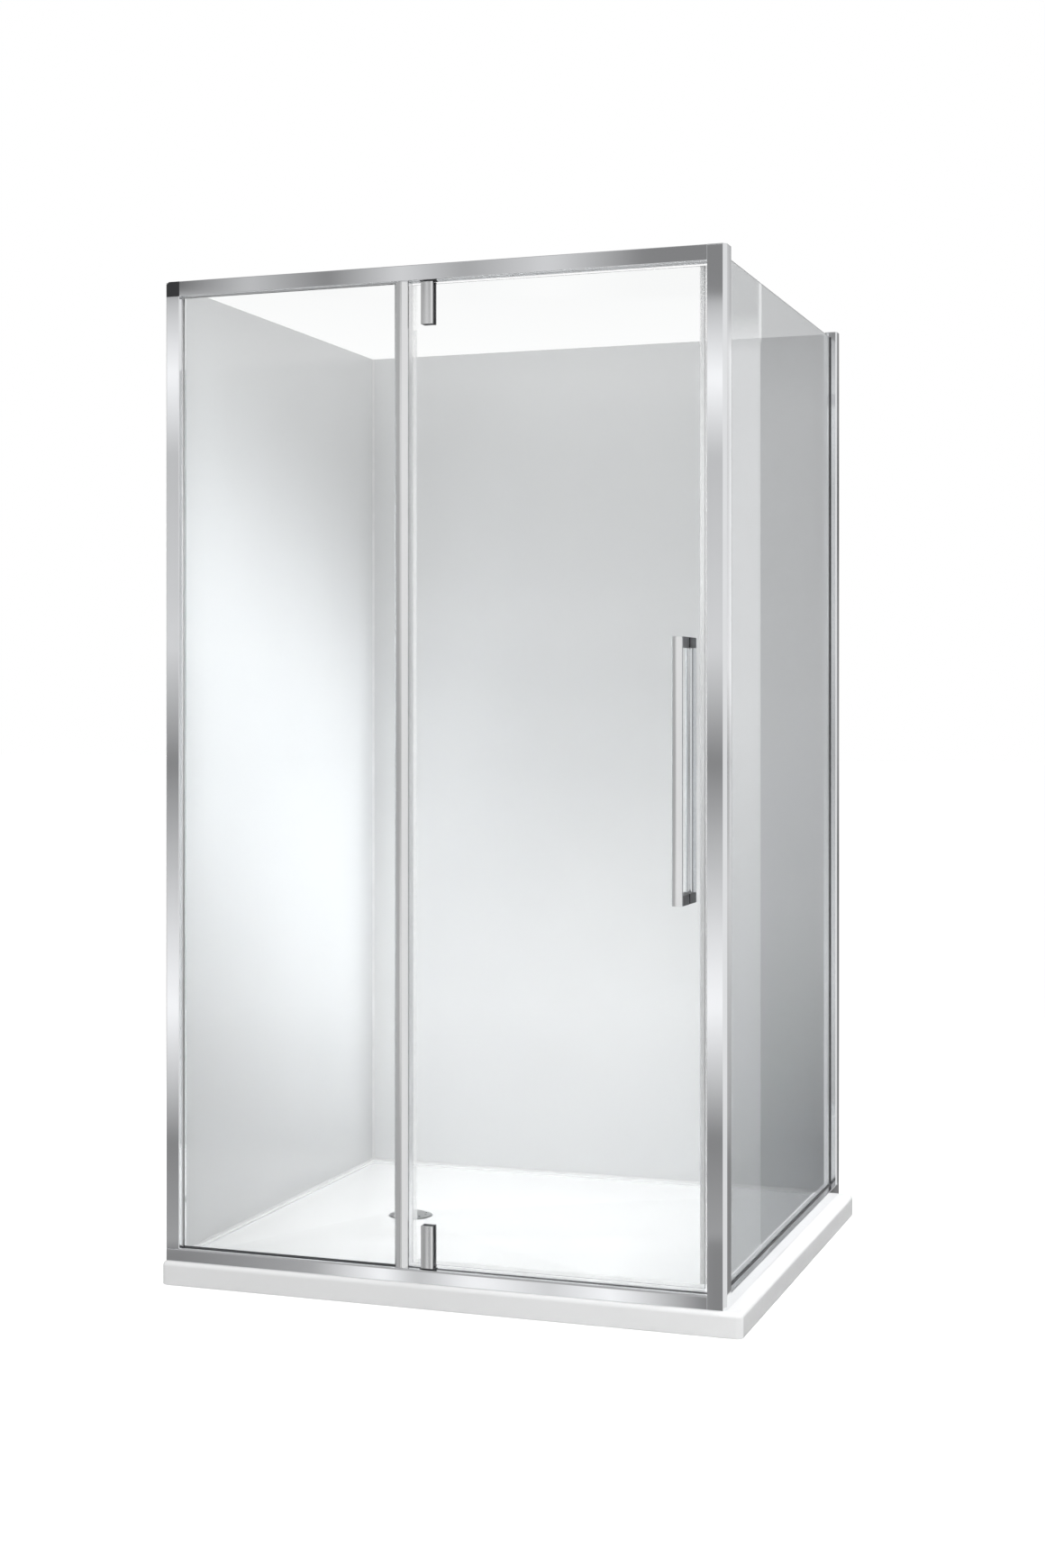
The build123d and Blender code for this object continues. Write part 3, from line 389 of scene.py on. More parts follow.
def perforated():
    """Tree: cuts a ring of round holes down through a disc, and a ring of windows out of its skirt."""
    tree, given, result = node_group("Perforated cover", [
        ("Centre", "Vector"), ("Holes", "Int"), ("Hole radius", "Float"), ("Ring radius", "Float"),
        ("Hole length", "Float"), ("Windows", "Int"), ("Window size", "Vector"), ("Skirt radius", "Float"),
        ("Finish", "Material")])
    ring = add(tree, "GeometryNodeMeshCircle")
    drill = add(tree, "GeometryNodeMeshCylinder", {"Vertices": HOLE_SIDES})
    holes = add(tree, "GeometryNodeInstanceOnPoints")
    skirt = add(tree, "GeometryNodeMeshCircle")
    window = add(tree, "GeometryNodeMeshCube")
    windows = add(tree, "GeometryNodeInstanceOnPoints")
    facing = add(tree, "FunctionNodeAlignRotationToVector", axis="X")
    spot = add(tree, "GeometryNodeInputPosition")
    tools = add(tree, "GeometryNodeJoinGeometry")
    placed = add(tree, "GeometryNodeTransform")
    real = add(tree, "GeometryNodeRealizeInstances")
    cut = add(tree, "GeometryNodeMeshBoolean", operation="DIFFERENCE")
    finish = add(tree, "GeometryNodeSetMaterial")
    connect(tree,
            ((given, "Holes"), (ring, "Vertices")), ((given, "Ring radius"), (ring, "Radius")),
            ((given, "Hole radius"), (drill, "Radius")), ((given, "Hole length"), (drill, "Depth")),
            ((ring, "Mesh"), (holes, "Points")), ((drill, "Mesh"), (holes, "Instance")),
            ((given, "Windows"), (skirt, "Vertices")), ((given, "Skirt radius"), (skirt, "Radius")),
            ((given, "Window size"), (window, "Size")), ((skirt, "Mesh"), (windows, "Points")),
            ((window, "Mesh"), (windows, "Instance")), ((spot, "Position"), (facing, "Vector")),
            ((facing, "Rotation"), (windows, "Rotation")), ((holes, "Instances"), (tools, "Geometry")),
            ((windows, "Instances"), (tools, "Geometry")), ((tools, "Geometry"), (placed, "Geometry")),
            ((given, "Centre"), (placed, "Translation")), ((placed, "Geometry"), (real, "Geometry")),
            ((given, "Geometry"), (cut, "Mesh 1")), ((real, "Geometry"), (cut, "Mesh 2")),
            ((cut, "Mesh"), (finish, "Geometry")), ((given, "Finish"), (finish, "Material")),
            ((finish, "Geometry"), (result, "Geometry")))
    return tree


def joined(name, pieces):
    """One object from several, with the first ones removed."""
    bm = bmesh.new()
    for piece in pieces:
        bm.from_mesh(piece.data)
        bpy.data.objects.remove(piece)
    return from_bmesh(name, bm)


def dress(obj, body, material, slot, *nodes):
    """Gives a finished piece its material, its body and the frame nodes that it stands for."""
    obj.data.materials.clear()
    obj.data.materials.append(material)
    obj.data.polygons.foreach_set("material_index", [0] * len(obj.data.polygons))
    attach(obj, body)
    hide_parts(*nodes)


def stand_in(node, name, width, body, finish, slot, **settings):
    """Eased copy of a frame node, under a name of its own, that takes the node's place."""
    dress(eased(solid_copy(name, node), width, **settings), body, finishes[finish], slot, node)


def paint(node, material):
    """Gives a frame node that stays in sight a better material."""
    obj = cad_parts[node]
    obj.data.materials.clear()
    obj.data.materials.append(material)


# Materials

def add(tree, kind, values=None, **settings):
    """New node with its settings and input values."""
    node = tree.nodes.new(kind)
    for name, value in settings.items():
        setattr(node, name, value)
    for name, value in (values or {}).items():
        node.inputs[name].default_value = value
    return node


def mix_shaders(tree, share, first, second):
    """Shader mixed from two by a share."""
    node = add(tree, "ShaderNodeMixShader")
    for index, socket in enumerate((share, first, second)):
        tree.links.new(socket, node.inputs[index])
    return node.outputs[0]


def begin(name, **values):
    """New material with a Principled shader and object coordinates."""
    material = bpy.data.materials.new(name)
    material.use_nodes = True
    tree = material.node_tree
    tree.nodes.clear()
    out = add(tree, "ShaderNodeOutputMaterial")
    shader = add(tree, "ShaderNodeBsdfPrincipled")
    for key, value in values.items():
        shader.inputs[key.replace("_", " ")].default_value = value
    tree.links.new(shader.outputs[0], out.inputs[0])
    place = add(tree, "ShaderNodeTexCoord")
    return material, tree, shader, out, place.outputs["Object"]


def noise(tree, place, scale, stretch=(1, 1, 1), detail=4.0, rough=0.55):
    """Noise on object coordinates, stretched along the axes."""
    mapping = add(tree, "ShaderNodeMapping", {"Scale": stretch})
    tree.links.new(place, mapping.inputs["Vector"])
    texture = add(tree, "ShaderNodeTexNoise", {"Scale": scale, "Detail": detail, "Roughness": rough})
    tree.links.new(mapping.outputs[0], texture.inputs["Vector"])
    return texture.outputs["Fac"]


def spread(tree, value, low, high, start=0.3, end=0.7):
    """Value mapped from one range to another."""
    node = add(tree, "ShaderNodeMapRange",
               {"From Min": start, "From Max": end, "To Min": low, "To Max": high})
    tree.links.new(value, node.inputs["Value"])
    return node.outputs["Result"]


def tones(tree, share, low, high):
    """Colour between two colours by a share; each of the three is a value or a socket."""
    node = add(tree, "ShaderNodeMix", data_type="RGBA")
    first, second = [i for i in node.inputs if i.type == "RGBA"]
    feed(tree, first, low)
    feed(tree, second, high)
    feed(tree, node.inputs["Factor"], share)
    return [o for o in node.outputs if o.type == "RGBA"][0]


def mottled(tree, shader, pattern, colour, share):
    """Base colour that falls to a share of itself by a pattern."""
    tree.links.new(tones(tree, spread(tree, pattern, 0, 1), colour, shaded(colour, share)),
                   shader.inputs["Base Color"])


def bump(tree, shader, height, strength, distance):
    """Fine relief on a shader."""
    node = add(tree, "ShaderNodeBump", {"Strength": strength, "Distance": distance})
    tree.links.new(height, node.inputs["Height"])
    tree.links.new(node.outputs[0], shader.inputs["Normal"])


def shaded(colour, share):
    """Colour darkened to a share of itself."""
    return tuple(c * share for c in colour)


def metal(name, colour, roughness, grain=(1, 1, 1), grain_depth=0.002, wear=0.02):
    """Metal with drawn grain, faint smears and slightly uneven gloss."""
    smear_scale, grain_scale, smear_share = 7, 900, 0.965
    material, tree, shader, _, place = begin(name, Metallic=1.0)
    smears = noise(tree, place, smear_scale, detail=6)
    lines = noise(tree, place, grain_scale, grain, detail=2)
    tree.links.new(spread(tree, smears, roughness, roughness + wear), shader.inputs["Roughness"])
    mottled(tree, shader, smears, colour, smear_share)
    bump(tree, shader, lines, grain_depth, FINE_RELIEF)
    return material


def coating(name, colour, roughness, speck=SPECK_SCALE, depth=0.12, metallic=0.0):
    """Painted or moulded surface with fine texture and softly rubbed tone."""
    rub_share, rub_wear = 0.88, 0.1
    material, tree, shader, _, place = begin(name, Metallic=metallic)
    rub = noise(tree, place, RUB_SCALE, detail=6)
    mottled(tree, shader, rub, colour, rub_share)
    tree.links.new(spread(tree, rub, roughness, roughness + rub_wear), shader.inputs["Roughness"])
    bump(tree, shader, noise(tree, place, speck, detail=3), depth, FINE_RELIEF)
    return material


def gloss_white(name, colour, roughness, coat, ripple):
    """White gloss sheet or casting: faint mottling, slow ripple and a few dull water marks."""
    mottle_scale, mark_scale, ripple_scale = 3.5, 60, 5
    mottle_share, mark_wear, coat_roughness, slow_relief = 0.975, 0.12, 0.04, 0.002
    material, tree, shader, _, place = begin(name, Coat_Weight=coat, Coat_Roughness=coat_roughness)
    mottled(tree, shader, noise(tree, place, mottle_scale, detail=5), colour, mottle_share)
    marks = noise(tree, place, mark_scale, detail=5, rough=0.7)
    worn = spread(tree, marks, roughness, roughness + mark_wear, 0.5, 0.8)
    tree.links.new(worn, shader.inputs["Roughness"])
    bump(tree, shader, noise(tree, place, ripple_scale, detail=2), ripple, slow_relief)
    return material


def let_light_by(tree, shader, out, colour):
    """Lets lamp light pass a clear piece in place of a hard shadow."""
    through = add(tree, "ShaderNodeBsdfTransparent", {"Color": (*colour, 1)})
    path = add(tree, "ShaderNodeLightPath")
    mixed = mix_shaders(tree, path.outputs["Is Shadow Ray"], shader.outputs[0], through.outputs[0])
    tree.links.new(mixed, out.inputs[0])


def clear_glass(name, tint):
    """Clear pane that lets light through to what stands behind it."""
    film_scale, mark_scale, wave_scale = 2.2, 40, 1.3
    film_share, mark_wear, wave_strength, wave_relief, shadow_share = 0.995, 0.015, 0.004, 0.001, 0.97
    material, tree, shader, out, place = begin(name, Transmission_Weight=1.0, IOR=1.45)
    mottled(tree, shader, noise(tree, place, film_scale, detail=3), tint, film_share)
    marks = noise(tree, place, mark_scale, detail=5)
    tree.links.new(spread(tree, marks, 0, mark_wear, 0.55, 0.9), shader.inputs["Roughness"])
    bump(tree, shader, noise(tree, place, wave_scale, detail=1), wave_strength, wave_relief)
    let_light_by(tree, shader, out, shaded(tint, shadow_share))
    return material


def soft_seal(name, colour, body):
    """Flexible seal that is clear apart from a share of body colour."""
    cloud_scale, cloud_share, body_range = 30, 0.97, 0.03
    material, tree, shader, _, place = begin(name, IOR=1.4)
    cloud = noise(tree, place, cloud_scale, detail=4)
    mottled(tree, shader, cloud, colour, cloud_share)
    tree.links.new(spread(tree, cloud, 0.22, 0.3), shader.inputs["Roughness"])
    tree.links.new(spread(tree, cloud, body, body + body_range), shader.inputs["Alpha"])
    return material


def shaded_glazing_strip(name, pale, dark, foot, rear):
    """Gasket that is pale, with painted shade as dark strips at its foot under the panes and at the rear
    jamb.
    """
    material, tree, shader, _, place = begin(name)
    split = add(tree, "ShaderNodeSeparateXYZ")
    tree.links.new(place, split.inputs[0])
    # Painted shade: dark below the foot's height and behind the rear line, where the gasket meets the sill
    # and the rear jamb
    above = spread(tree, split.outputs["Z"], 0, 1, foot, foot + TONE_CHANGE)
    before = spread(tree, split.outputs["Y"], 1, 0, rear, rear + TONE_CHANGE)
    share = math_node(tree, "MULTIPLY", above, before)
    tree.links.new(tones(tree, share, dark, pale), shader.inputs["Base Color"])
    rub = noise(tree, place, RUB_SCALE, detail=6)
    tree.links.new(spread(tree, rub, 0.45, 0.6), shader.inputs["Roughness"])
    bump(tree, shader, noise(tree, place, SPECK_SCALE, detail=3), 0.1, FINE_RELIEF)
    return material


finishes = {}


def build_finishes(scene):
    """Makes every material once."""
    metals, panes, whites = scene.shower_metal, scene.shower_glass, scene.shower_whites
    for along, grain in (("x", (0.01, 1, 1)), ("y", (1, 0.01, 1)), ("z", (1, 1, 0.01))):
        finishes["bright_" + along] = metal(
            "Polished along " + along, tuple(metals.bright), metals.bright_roughness, grain, 0.0006, 0.015)
    finishes["satin"] = metal("Satin metal", tuple(metals.satin), 0.15, (1, 1, 0.01), 0.02)
    finishes["alloy"] = metal("Plain alloy", (0.68, 0.69, 0.70), 0.34, (1, 1, 0.01), 0.1)
    # Painted shade: alloy darkened so that the sill infill stands for the shade line along the sill's top
    finishes["dark alloy"] = metal("Dark alloy", (0.10, 0.102, 0.106), 0.4, (0.01, 1, 1), 0.1)
    finishes["steel"] = metal("Plain steel", (0.60, 0.60, 0.61), 0.24, (1, 1, 0.1), 0.08)
    finishes["waste"] = metal("Waste metal", (0.50, 0.505, 0.51), 0.3, (1, 1, 1), 0.06)
    finishes["graphite"] = coating("Graphite coating", tuple(metals.graphite), 0.3, metallic=0.4)
    finishes["joiner"] = coating("Dark moulding", (0.03, 0.031, 0.034), 0.38)
    finishes["polymer"] = coating("Dark polymer", (0.05, 0.05, 0.055), 0.45)
    finishes["foam"] = coating("Foam core", (0.70, 0.67, 0.55), 0.85, 300, 0.5)
    finishes["gasket"] = coating("Glazing gasket", tuple(panes.gasket), 0.55)
    finishes["sealant"] = coating("Sealant", (0.80, 0.80, 0.80), 0.4, 60, 0.1)
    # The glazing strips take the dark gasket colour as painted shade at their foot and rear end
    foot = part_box("fixed_glass_gaskets")[0].z + PAINTED_SHADE_TOP
    finishes["strip"] = shaded_glazing_strip("Glazing strip", tuple(panes.strip), tuple(panes.gasket), foot, PAINTED_SHADE_REAR)
    finishes["seal"] = soft_seal("Clear seal", tuple(panes.seal), 0.07)
    finishes["magnet"] = soft_seal("Magnetic seal", tuple(panes.seal), 0.3)
    finishes["glass"] = clear_glass("Clear glass", tuple(panes.tint))
    # Painted shade: the return panel is the same clear glass, darkened by its own tint
    finishes["side glass"] = clear_glass("Side glass", tuple(panes.side_painted_shade_tint))
    finishes["liner"] = gloss_white("Liner sheet", tuple(whites.liner), whites.liner_roughness, 0.3, 0.02)
    finishes["tray"] = gloss_white("Tray acrylic", tuple(whites.tray), 0.14, 0.4, 0.01)


# Pieces with repeated features

def screws(name, tree, finish, start, step, count, turn, seat, crown, height, shank, length, socket):
    """A row of screws from one tree, with places and sizes in metres and the turn in radians."""
    row = new_object(name, bpy.data.meshes.new(name))
    return grow(row, tree, {
        "Count": count, "Start": start, "Step": step, "Turn": turn, "Seat radius": seat,
        "Crown radius": crown, "Head height": height, "Shank radius": shank, "Shank length": length,
        "Socket radius": socket, "Socket depth": height * SOCKET_DEPTH, "Finish": finish})


def jamb_screws(finish):
    """Pan head screws inside the two jambs, three to each."""
    tree = screw_row()
    boxes = solids("jamb_screws")
    left = sorted((b for b in boxes if b[0].x < 0), key=lambda b: b[0].z)
    rear = sorted((b for b in boxes if b[0].x > 0), key=lambda b: b[0].z)
    seat = (left[0][1].x - left[0][0].x) / 2
    height, shank = seat * PAN_HEIGHT, seat * PAN_SHANK
    length = left[0][1].y - left[0][0].y - height
    rise = Vector((0, 0, left[1][0].z - left[0][0].z))
    front = (left[0][0] + left[0][1]) / 2
    front.y = left[0][1].y - height
    back = (rear[0][0] + rear[0][1]) / 2
    back.x = rear[0][0].x + height
    rows = [screws(name, tree, finish, start, rise, len(left), turn, seat, seat * PAN_CROWN, height, shank,
                   length, seat * PAN_SOCKET)
            for name, start, turn in (("left_row", front, (-math.pi / 2, 0, 0)),
                                      ("rear_row", back, (0, -math.pi / 2, 0)))]
    return joined("jamb_screw_heads", rows)


def clamp_screws(finish):
    """Countersunk screws of the two pivots, two to each, with their heads flush inside."""
    tree = screw_row()
    rows = []
    boxes = solids("clamp_screws")
    for pair in (boxes[:2], boxes[2:]):
        low, high = pair[0]
        crown = (high.x - low.x) / 2
        height, shank = crown * SUNK_HEIGHT, crown * SUNK_SHANK
        start = (low + high) / 2
        start.y = high.y - height
        rise = Vector((0, 0, pair[1][0].z - low.z))
        rows.append(screws("clamp_row", tree, finish, start, rise, len(pair), (-math.pi / 2, 0, 0),
                           shank * SEAT_WIDENING, crown, height, shank, high.y - low.y - height,
                           crown * SUNK_SOCKET))
    return joined("clamp_screw_heads", rows)


def drain_cover(finish):
    """Crowned cover with a ring of holes and a skirt with windows."""
    low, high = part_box("waste_cover")
    radius, height = (high.x - low.x) / 2, high.z - low.z
    centre = Vector(((low.x + high.x) / 2, (low.y + high.y) / 2, low.z))
    skirt = radius * COVER_SKIRT
    inside, lip, rim = skirt - SKIRT_WALL, radius - COVER_SOFT, SKIRT_DEPTH + COVER_RIM
    crown = height - rim
    bow = (radius ** 2 + crown ** 2) / (2 * crown)
    dome = [(r, height - bow + math.sqrt(bow ** 2 - r ** 2))
            for r in (radius * step / DOME_STEPS for step in range(1, DOME_STEPS))]
    profile = [(0, SKIRT_DEPTH), (inside, SKIRT_DEPTH), (inside, 0), (skirt, 0), (skirt, SKIRT_DEPTH),
               (lip, SKIRT_DEPTH), (radius, SKIRT_DEPTH + COVER_SOFT), (radius, rim - COVER_SOFT), (lip, rim)]
    cover = lathe("drain_cover", profile + dome[::-1] + [(0, height)], centre, COVER_SIDES)
    grow(cover, perforated(), {
        "Centre": centre, "Holes": HOLE_COUNT, "Hole radius": HOLE_RADIUS,
        "Ring radius": radius * COVER_RING, "Hole length": 4 * height, "Windows": WINDOW_COUNT,
        "Window size": WINDOW_SIZE, "Skirt radius": skirt, "Finish": finish})
    cover.data.set_sharp_from_angle(angle=math.radians(SHARP_TURN))
    shade = cover.modifiers.new("Shade", "WEIGHTED_NORMAL")
    shade.keep_sharp = True
    return plain(cover)


# Operators, one for each piece or group

class SHOWER_OT_finishes(bpy.types.Operator):
    """Make the materials of all pieces"""
    bl_idname = "shower.finishes"
    bl_label = "Finishes"

    def execute(self, context):
        build_finishes(context.scene)
        return {"FINISHED"}


class SHOWER_OT_frame(bpy.types.Operator):
    """Finish the uprights, rails, caps and the dark corner joiner"""
    bl_idname = "shower.frame"
    bl_label = "Frame"

    def execute(self, context):
        edge = context.scene.shower_metal.edge
        for node, finish in (("left_jamb", "bright_z"), ("rear_jamb", "bright_z"),
                             ("corner_post", "bright_z"), ("mullion", "satin"), ("top_rail", "bright_x"),
                             ("front_sill", "bright_x"), ("side_rail", "bright_y")):
            stand_in(node, node + "_profile", edge, ROOT, finish, "bright_metal")
        for node in ("post_cap", "rear_jamb_cap"):
            stand_in(node, node + "_plate", edge / 2, ROOT, "bright_z", "bright_metal")
        stand_in("top_corner_joiner", "corner_joiner", edge, ROOT, "joiner", "joiner_moulding")
        for node in ("left_wall_channel", "rear_wall_channel", "top_rail_infill"):
            paint(node, finishes["alloy"])
        # The sill infill is painted dark as shade along the sill's top
        paint("sill_infill", finishes["dark alloy"])
        return {"FINISHED"}


class SHOWER_OT_walls(bpy.types.Operator):
    """Finish the wall liners and their sealant beads"""
    bl_idname = "shower.walls"
    bl_label = "Wall liners"

    def execute(self, context):
        for node in ("left_wall_liner", "back_wall_liner"):
            stand_in(node, node + "_sheet", SHEET_EASE, ROOT, "liner", "liner_panel")
        for node in ("corner_sealant", "foot_sealant"):
            paint(node, finishes["sealant"])
        return {"FINISHED"}


class SHOWER_OT_tray(bpy.types.Operator):
    """Finish the tray, its core and the waste"""
    bl_idname = "shower.tray"
    bl_label = "Tray and waste"

    def execute(self, context):
        stand_in("tray", "tray_shell", TRAY_EASE, ROOT, "tray", "tray_acrylic", angle=TRAY_SHARP_TURN)
        paint("tray_core", finishes["foam"])
        paint("waste_nut", finishes["polymer"])
        paint("waste_gasket", finishes["gasket"])
        stand_in("waste_body", "waste_ring", SOFT_EASE, ROOT, "waste", "waste_metal")
        dress(drain_cover(finishes["waste"]), COVER, finishes["waste"], "waste_metal", "waste_cover")
        return {"FINISHED"}


class SHOWER_OT_glass(bpy.types.Operator):
    """Finish the three panes and the gaskets that hold them"""
    bl_idname = "shower.glass"
    bl_label = "Glass"

    def execute(self, context):
        arris = context.scene.shower_glass.arris
        # The return panel takes the darker glass, which is painted shade
        for node, body, finish in (("fixed_glass", ROOT, "glass"), ("side_glass", ROOT, "side glass"),
                                   ("door_glass", DOOR, "glass")):
            stand_in(node, node + "_pane", arris, body, finish, "clear_glass", segments=1)
        for node in ("fixed_glass_gaskets", "side_glass_gaskets"):
            stand_in(node, node + "_strip", SOFT_EASE, ROOT, "strip", "grey_gasket")
        return {"FINISHED"}


class SHOWER_OT_pivots(bpy.types.Operator):
    """Finish the two pivots that carry the door"""
    bl_idname = "shower.pivots"
    bl_label = "Pivots"

    def execute(self, context):
        edge = context.scene.shower_metal.edge
        for end in ("lower", "upper"):
            for half in ("outer", "inner"):
                node = f"{end}_pivot_{half}"
                stand_in(node, node + "_block", edge, DOOR, "graphite", "graphite_metal")
            node = f"{end}_pivot_face"
            stand_in(node, node + "_plate", edge / 2, DOOR, "satin", "satin_metal")
            for part, finish in (("bush", "polymer"), ("pin", "steel"), ("seat", "polymer")):
                paint(f"{end}_pivot_{part}", finishes[finish])
        paint("pivot_gaskets", finishes["gasket"])
        dress(clamp_screws(finishes["steel"]), DOOR, finishes["steel"], "pin_steel", "clamp_screws")
        dress(jamb_screws(finishes["steel"]), ROOT, finishes["steel"], "pin_steel", "jamb_screws")
        return {"FINISHED"}


class SHOWER_OT_seals(bpy.types.Operator):
    """Finish the seals round the door"""
    bl_idname = "shower.seals"
    bl_label = "Seals"

    def execute(self, context):
        for node, body, finish, slot in (("door_edge_seal", DOOR, "seal", "clear_seal"),
                                         ("drip_seal", DOOR, "seal", "clear_seal"),
                                         ("door_magnet_seal", DOOR, "magnet", "pale_seal"),
                                         ("post_magnet_strip", ROOT, "magnet", "pale_seal")):
            stand_in(node, node + "_strip", THIN_EASE, body, finish, slot)
        return {"FINISHED"}


class SHOWER_OT_handle(bpy.types.Operator):
    """Finish the bar handle and its posts"""
    bl_idname = "shower.handle"
    bl_label = "Handle"

    def execute(self, context):
        edge = context.scene.shower_metal.edge
        for node, finish, slot in (("handle_outer_bar", "satin", "satin_metal"),
                                   ("handle_inner_bar", "bright_z", "bright_metal")):
            low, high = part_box(node)
            centre = (low + high) / 2
            radius, half = (high.x - low.x) / 2, (high.z - low.z) / 2
            end = [(radius - TUBE_EASE * (1 - math.sin(t)), half - TUBE_EASE * (1 - math.cos(t)))
                   for t in (0, math.pi / 6, math.pi / 3, math.pi / 2)]
            foot = [(0, -half)] + [(r, -h) for r, h in end]
            piece = lathe(node + "_tube", foot + [(r, -h) for r, h in reversed(foot)], centre)
            shade = piece.modifiers.new("Shade", "WEIGHTED_NORMAL")
            shade.weight = SHADE_WEIGHT
            dress(plain(piece), DOOR, finishes[finish], slot, node)
        for node in ("handle_outer_posts", "handle_inner_posts"):
            stand_in(node, node + "_block", edge, DOOR, "graphite", "graphite_metal")
        paint("handle_washers", finishes["seal"])
        paint("handle_studs", finishes["steel"])
        return {"FINISHED"}


# Studio

def band_ramp(tree, value, stops):
    """Slightly cool grey bands at places from 0 to 1 along a value."""
    ramp = add(tree, "ShaderNodeValToRGB")
    points = ramp.color_ramp.elements
    while len(points) < len(stops):
        points.new(0.5)
    for point, (place, level) in zip(points, stops):
        point.position = place
        point.color = (level, level, level * COOL_CAST, 1)
    tree.links.new(value, ramp.inputs[0])
    return ramp.outputs[0]


def linear(tone):
    """Linear value of a display tone from 0 to 255."""
    share = tone / 255
    return share / 12.92 if share <= 0.04045 else ((share + 0.055) / 1.055) ** 2.4


def slope(degrees):
    """Place on the upright scale of the surround for a height above the horizon."""
    return (math.sin(math.radians(degrees)) + SCALE_HALF) / (2 * SCALE_HALF)


def grey(tone):
    """Plain grey of a display tone."""
    return (linear(tone),) * 3


def upright_bands(tree, rise, stops):
    """Bands by height above the horizon: a list of (degrees, display tone)."""
    return band_ramp(tree, rise, [(slope(d), linear(t)) for d, t in stops])


def turned_bands(tree, turn, first, last, stops):
    """Bands by compass direction between two angles: a list of (degrees, display tone)."""
    across = spread(tree, turn, 0, 1, math.radians(first), math.radians(last))
    return band_ramp(tree, across, [((d - first) / (last - first), linear(t)) for d, t in stops])


def beyond(tree, turn, ends):
    """Share that goes from 0 to 1 between two compass directions in degrees."""
    return spread(tree, turn, 0, 1, math.radians(ends[0]), math.radians(ends[1]))


def higher(tree, rise, ends):
    """Share that goes from 0 to 1 between two heights above the horizon in degrees."""
    return spread(tree, rise, 0, 1, slope(ends[0]), slope(ends[1]))


def seen_straight(tree, path):
    """One for what the camera sees, straight or through clear pieces, and else nought."""
    return math_node(tree, "MAXIMUM", path.outputs["Is Camera Ray"], path.outputs["Is Transmission Ray"])


def once_mirrored(tree, path):
    """One for what comes after a mirrored bounce, and else nought."""
    return math_node(tree, "MINIMUM", path.outputs["Glossy Depth"], 1)


def front_surround(tree, rise, turn, upright):
    """Bands that the faces towards the viewer mirror, with their own tones for the head rail and the sill."""
    head = turned_bands(tree, turn, RAIL_FIRST, RAIL_LAST, (
        (16.2, DUSK), (18.6, PALE), (20.8, DIM), (22.4, PALE), (24.3, DUSK), (26.3, MID), (28.5, SHADE)))
    foot = turned_bands(tree, turn, RAIL_FIRST, RAIL_LAST, (
        (14.6, DUSK), (17, GLARE), (18.6, PALE), (20.6, GLARE), (22, MID), (22.9, GLARE), (24.7, DIM),
        (28, DUSK)))
    rear = upright_bands(tree, rise, (
        (-10, DUSK), (-7, PALE), (-5, PALE), (-1, DUSK), (2, PALE), (5.5, MID), (7.3, GLARE), (9.4, DUSK)))
    bands = tones(tree, higher(tree, rise, HEAD_RISE), upright, head)
    bands = tones(tree, higher(tree, rise, SILL_RISE), bands, foot)
    return tones(tree, beyond(tree, turn, REAR_JAMB_TURN), bands, rear)


def side_surround(tree, rise, turn):
    """What the right side mirrors: the post's bands, the pane's two strips and the rear jamb's dark bands."""
    post = upright_bands(tree, rise, (
        (-11.5, DUSK), (-10.4, DIM), (-4.7, MID), (-1.3, DUSK), (1, PALE), (6.8, MID), (9.1, PALE),
        (12, MID)))
    jamb = upright_bands(tree, rise, (
        (-9.5, DUSK), (-3.8, SHADE), (-1, DUSK), (5.7, DEEP), (9.4, DUSK)))
    darker = upright_bands(tree, rise, ((-11, SHADE), (-5, DIM), (0, MID), (7.7, MID), (9.6, DIM)))
    paler = upright_bands(tree, rise, ((-12, DUSK), (-5, PALE), (0, GLARE), (9, GLARE), (10, DIM)))
    pane = tones(tree, beyond(tree, turn, PALE_STRIP_TURN), darker, paler)
    seam = math_node(tree, "MULTIPLY", beyond(tree, turn, SEAM_START), beyond(tree, turn, SEAM_END))
    seam = math_node(tree, "MULTIPLY", seam, higher(tree, rise, SEAM_RISE))
    pane = tones(tree, seam, pane, grey(GLARE))
    bands = tones(tree, beyond(tree, turn, PANE_TURN), jamb, pane)
    return tones(tree, beyond(tree, turn, POST_TURN), bands, post)


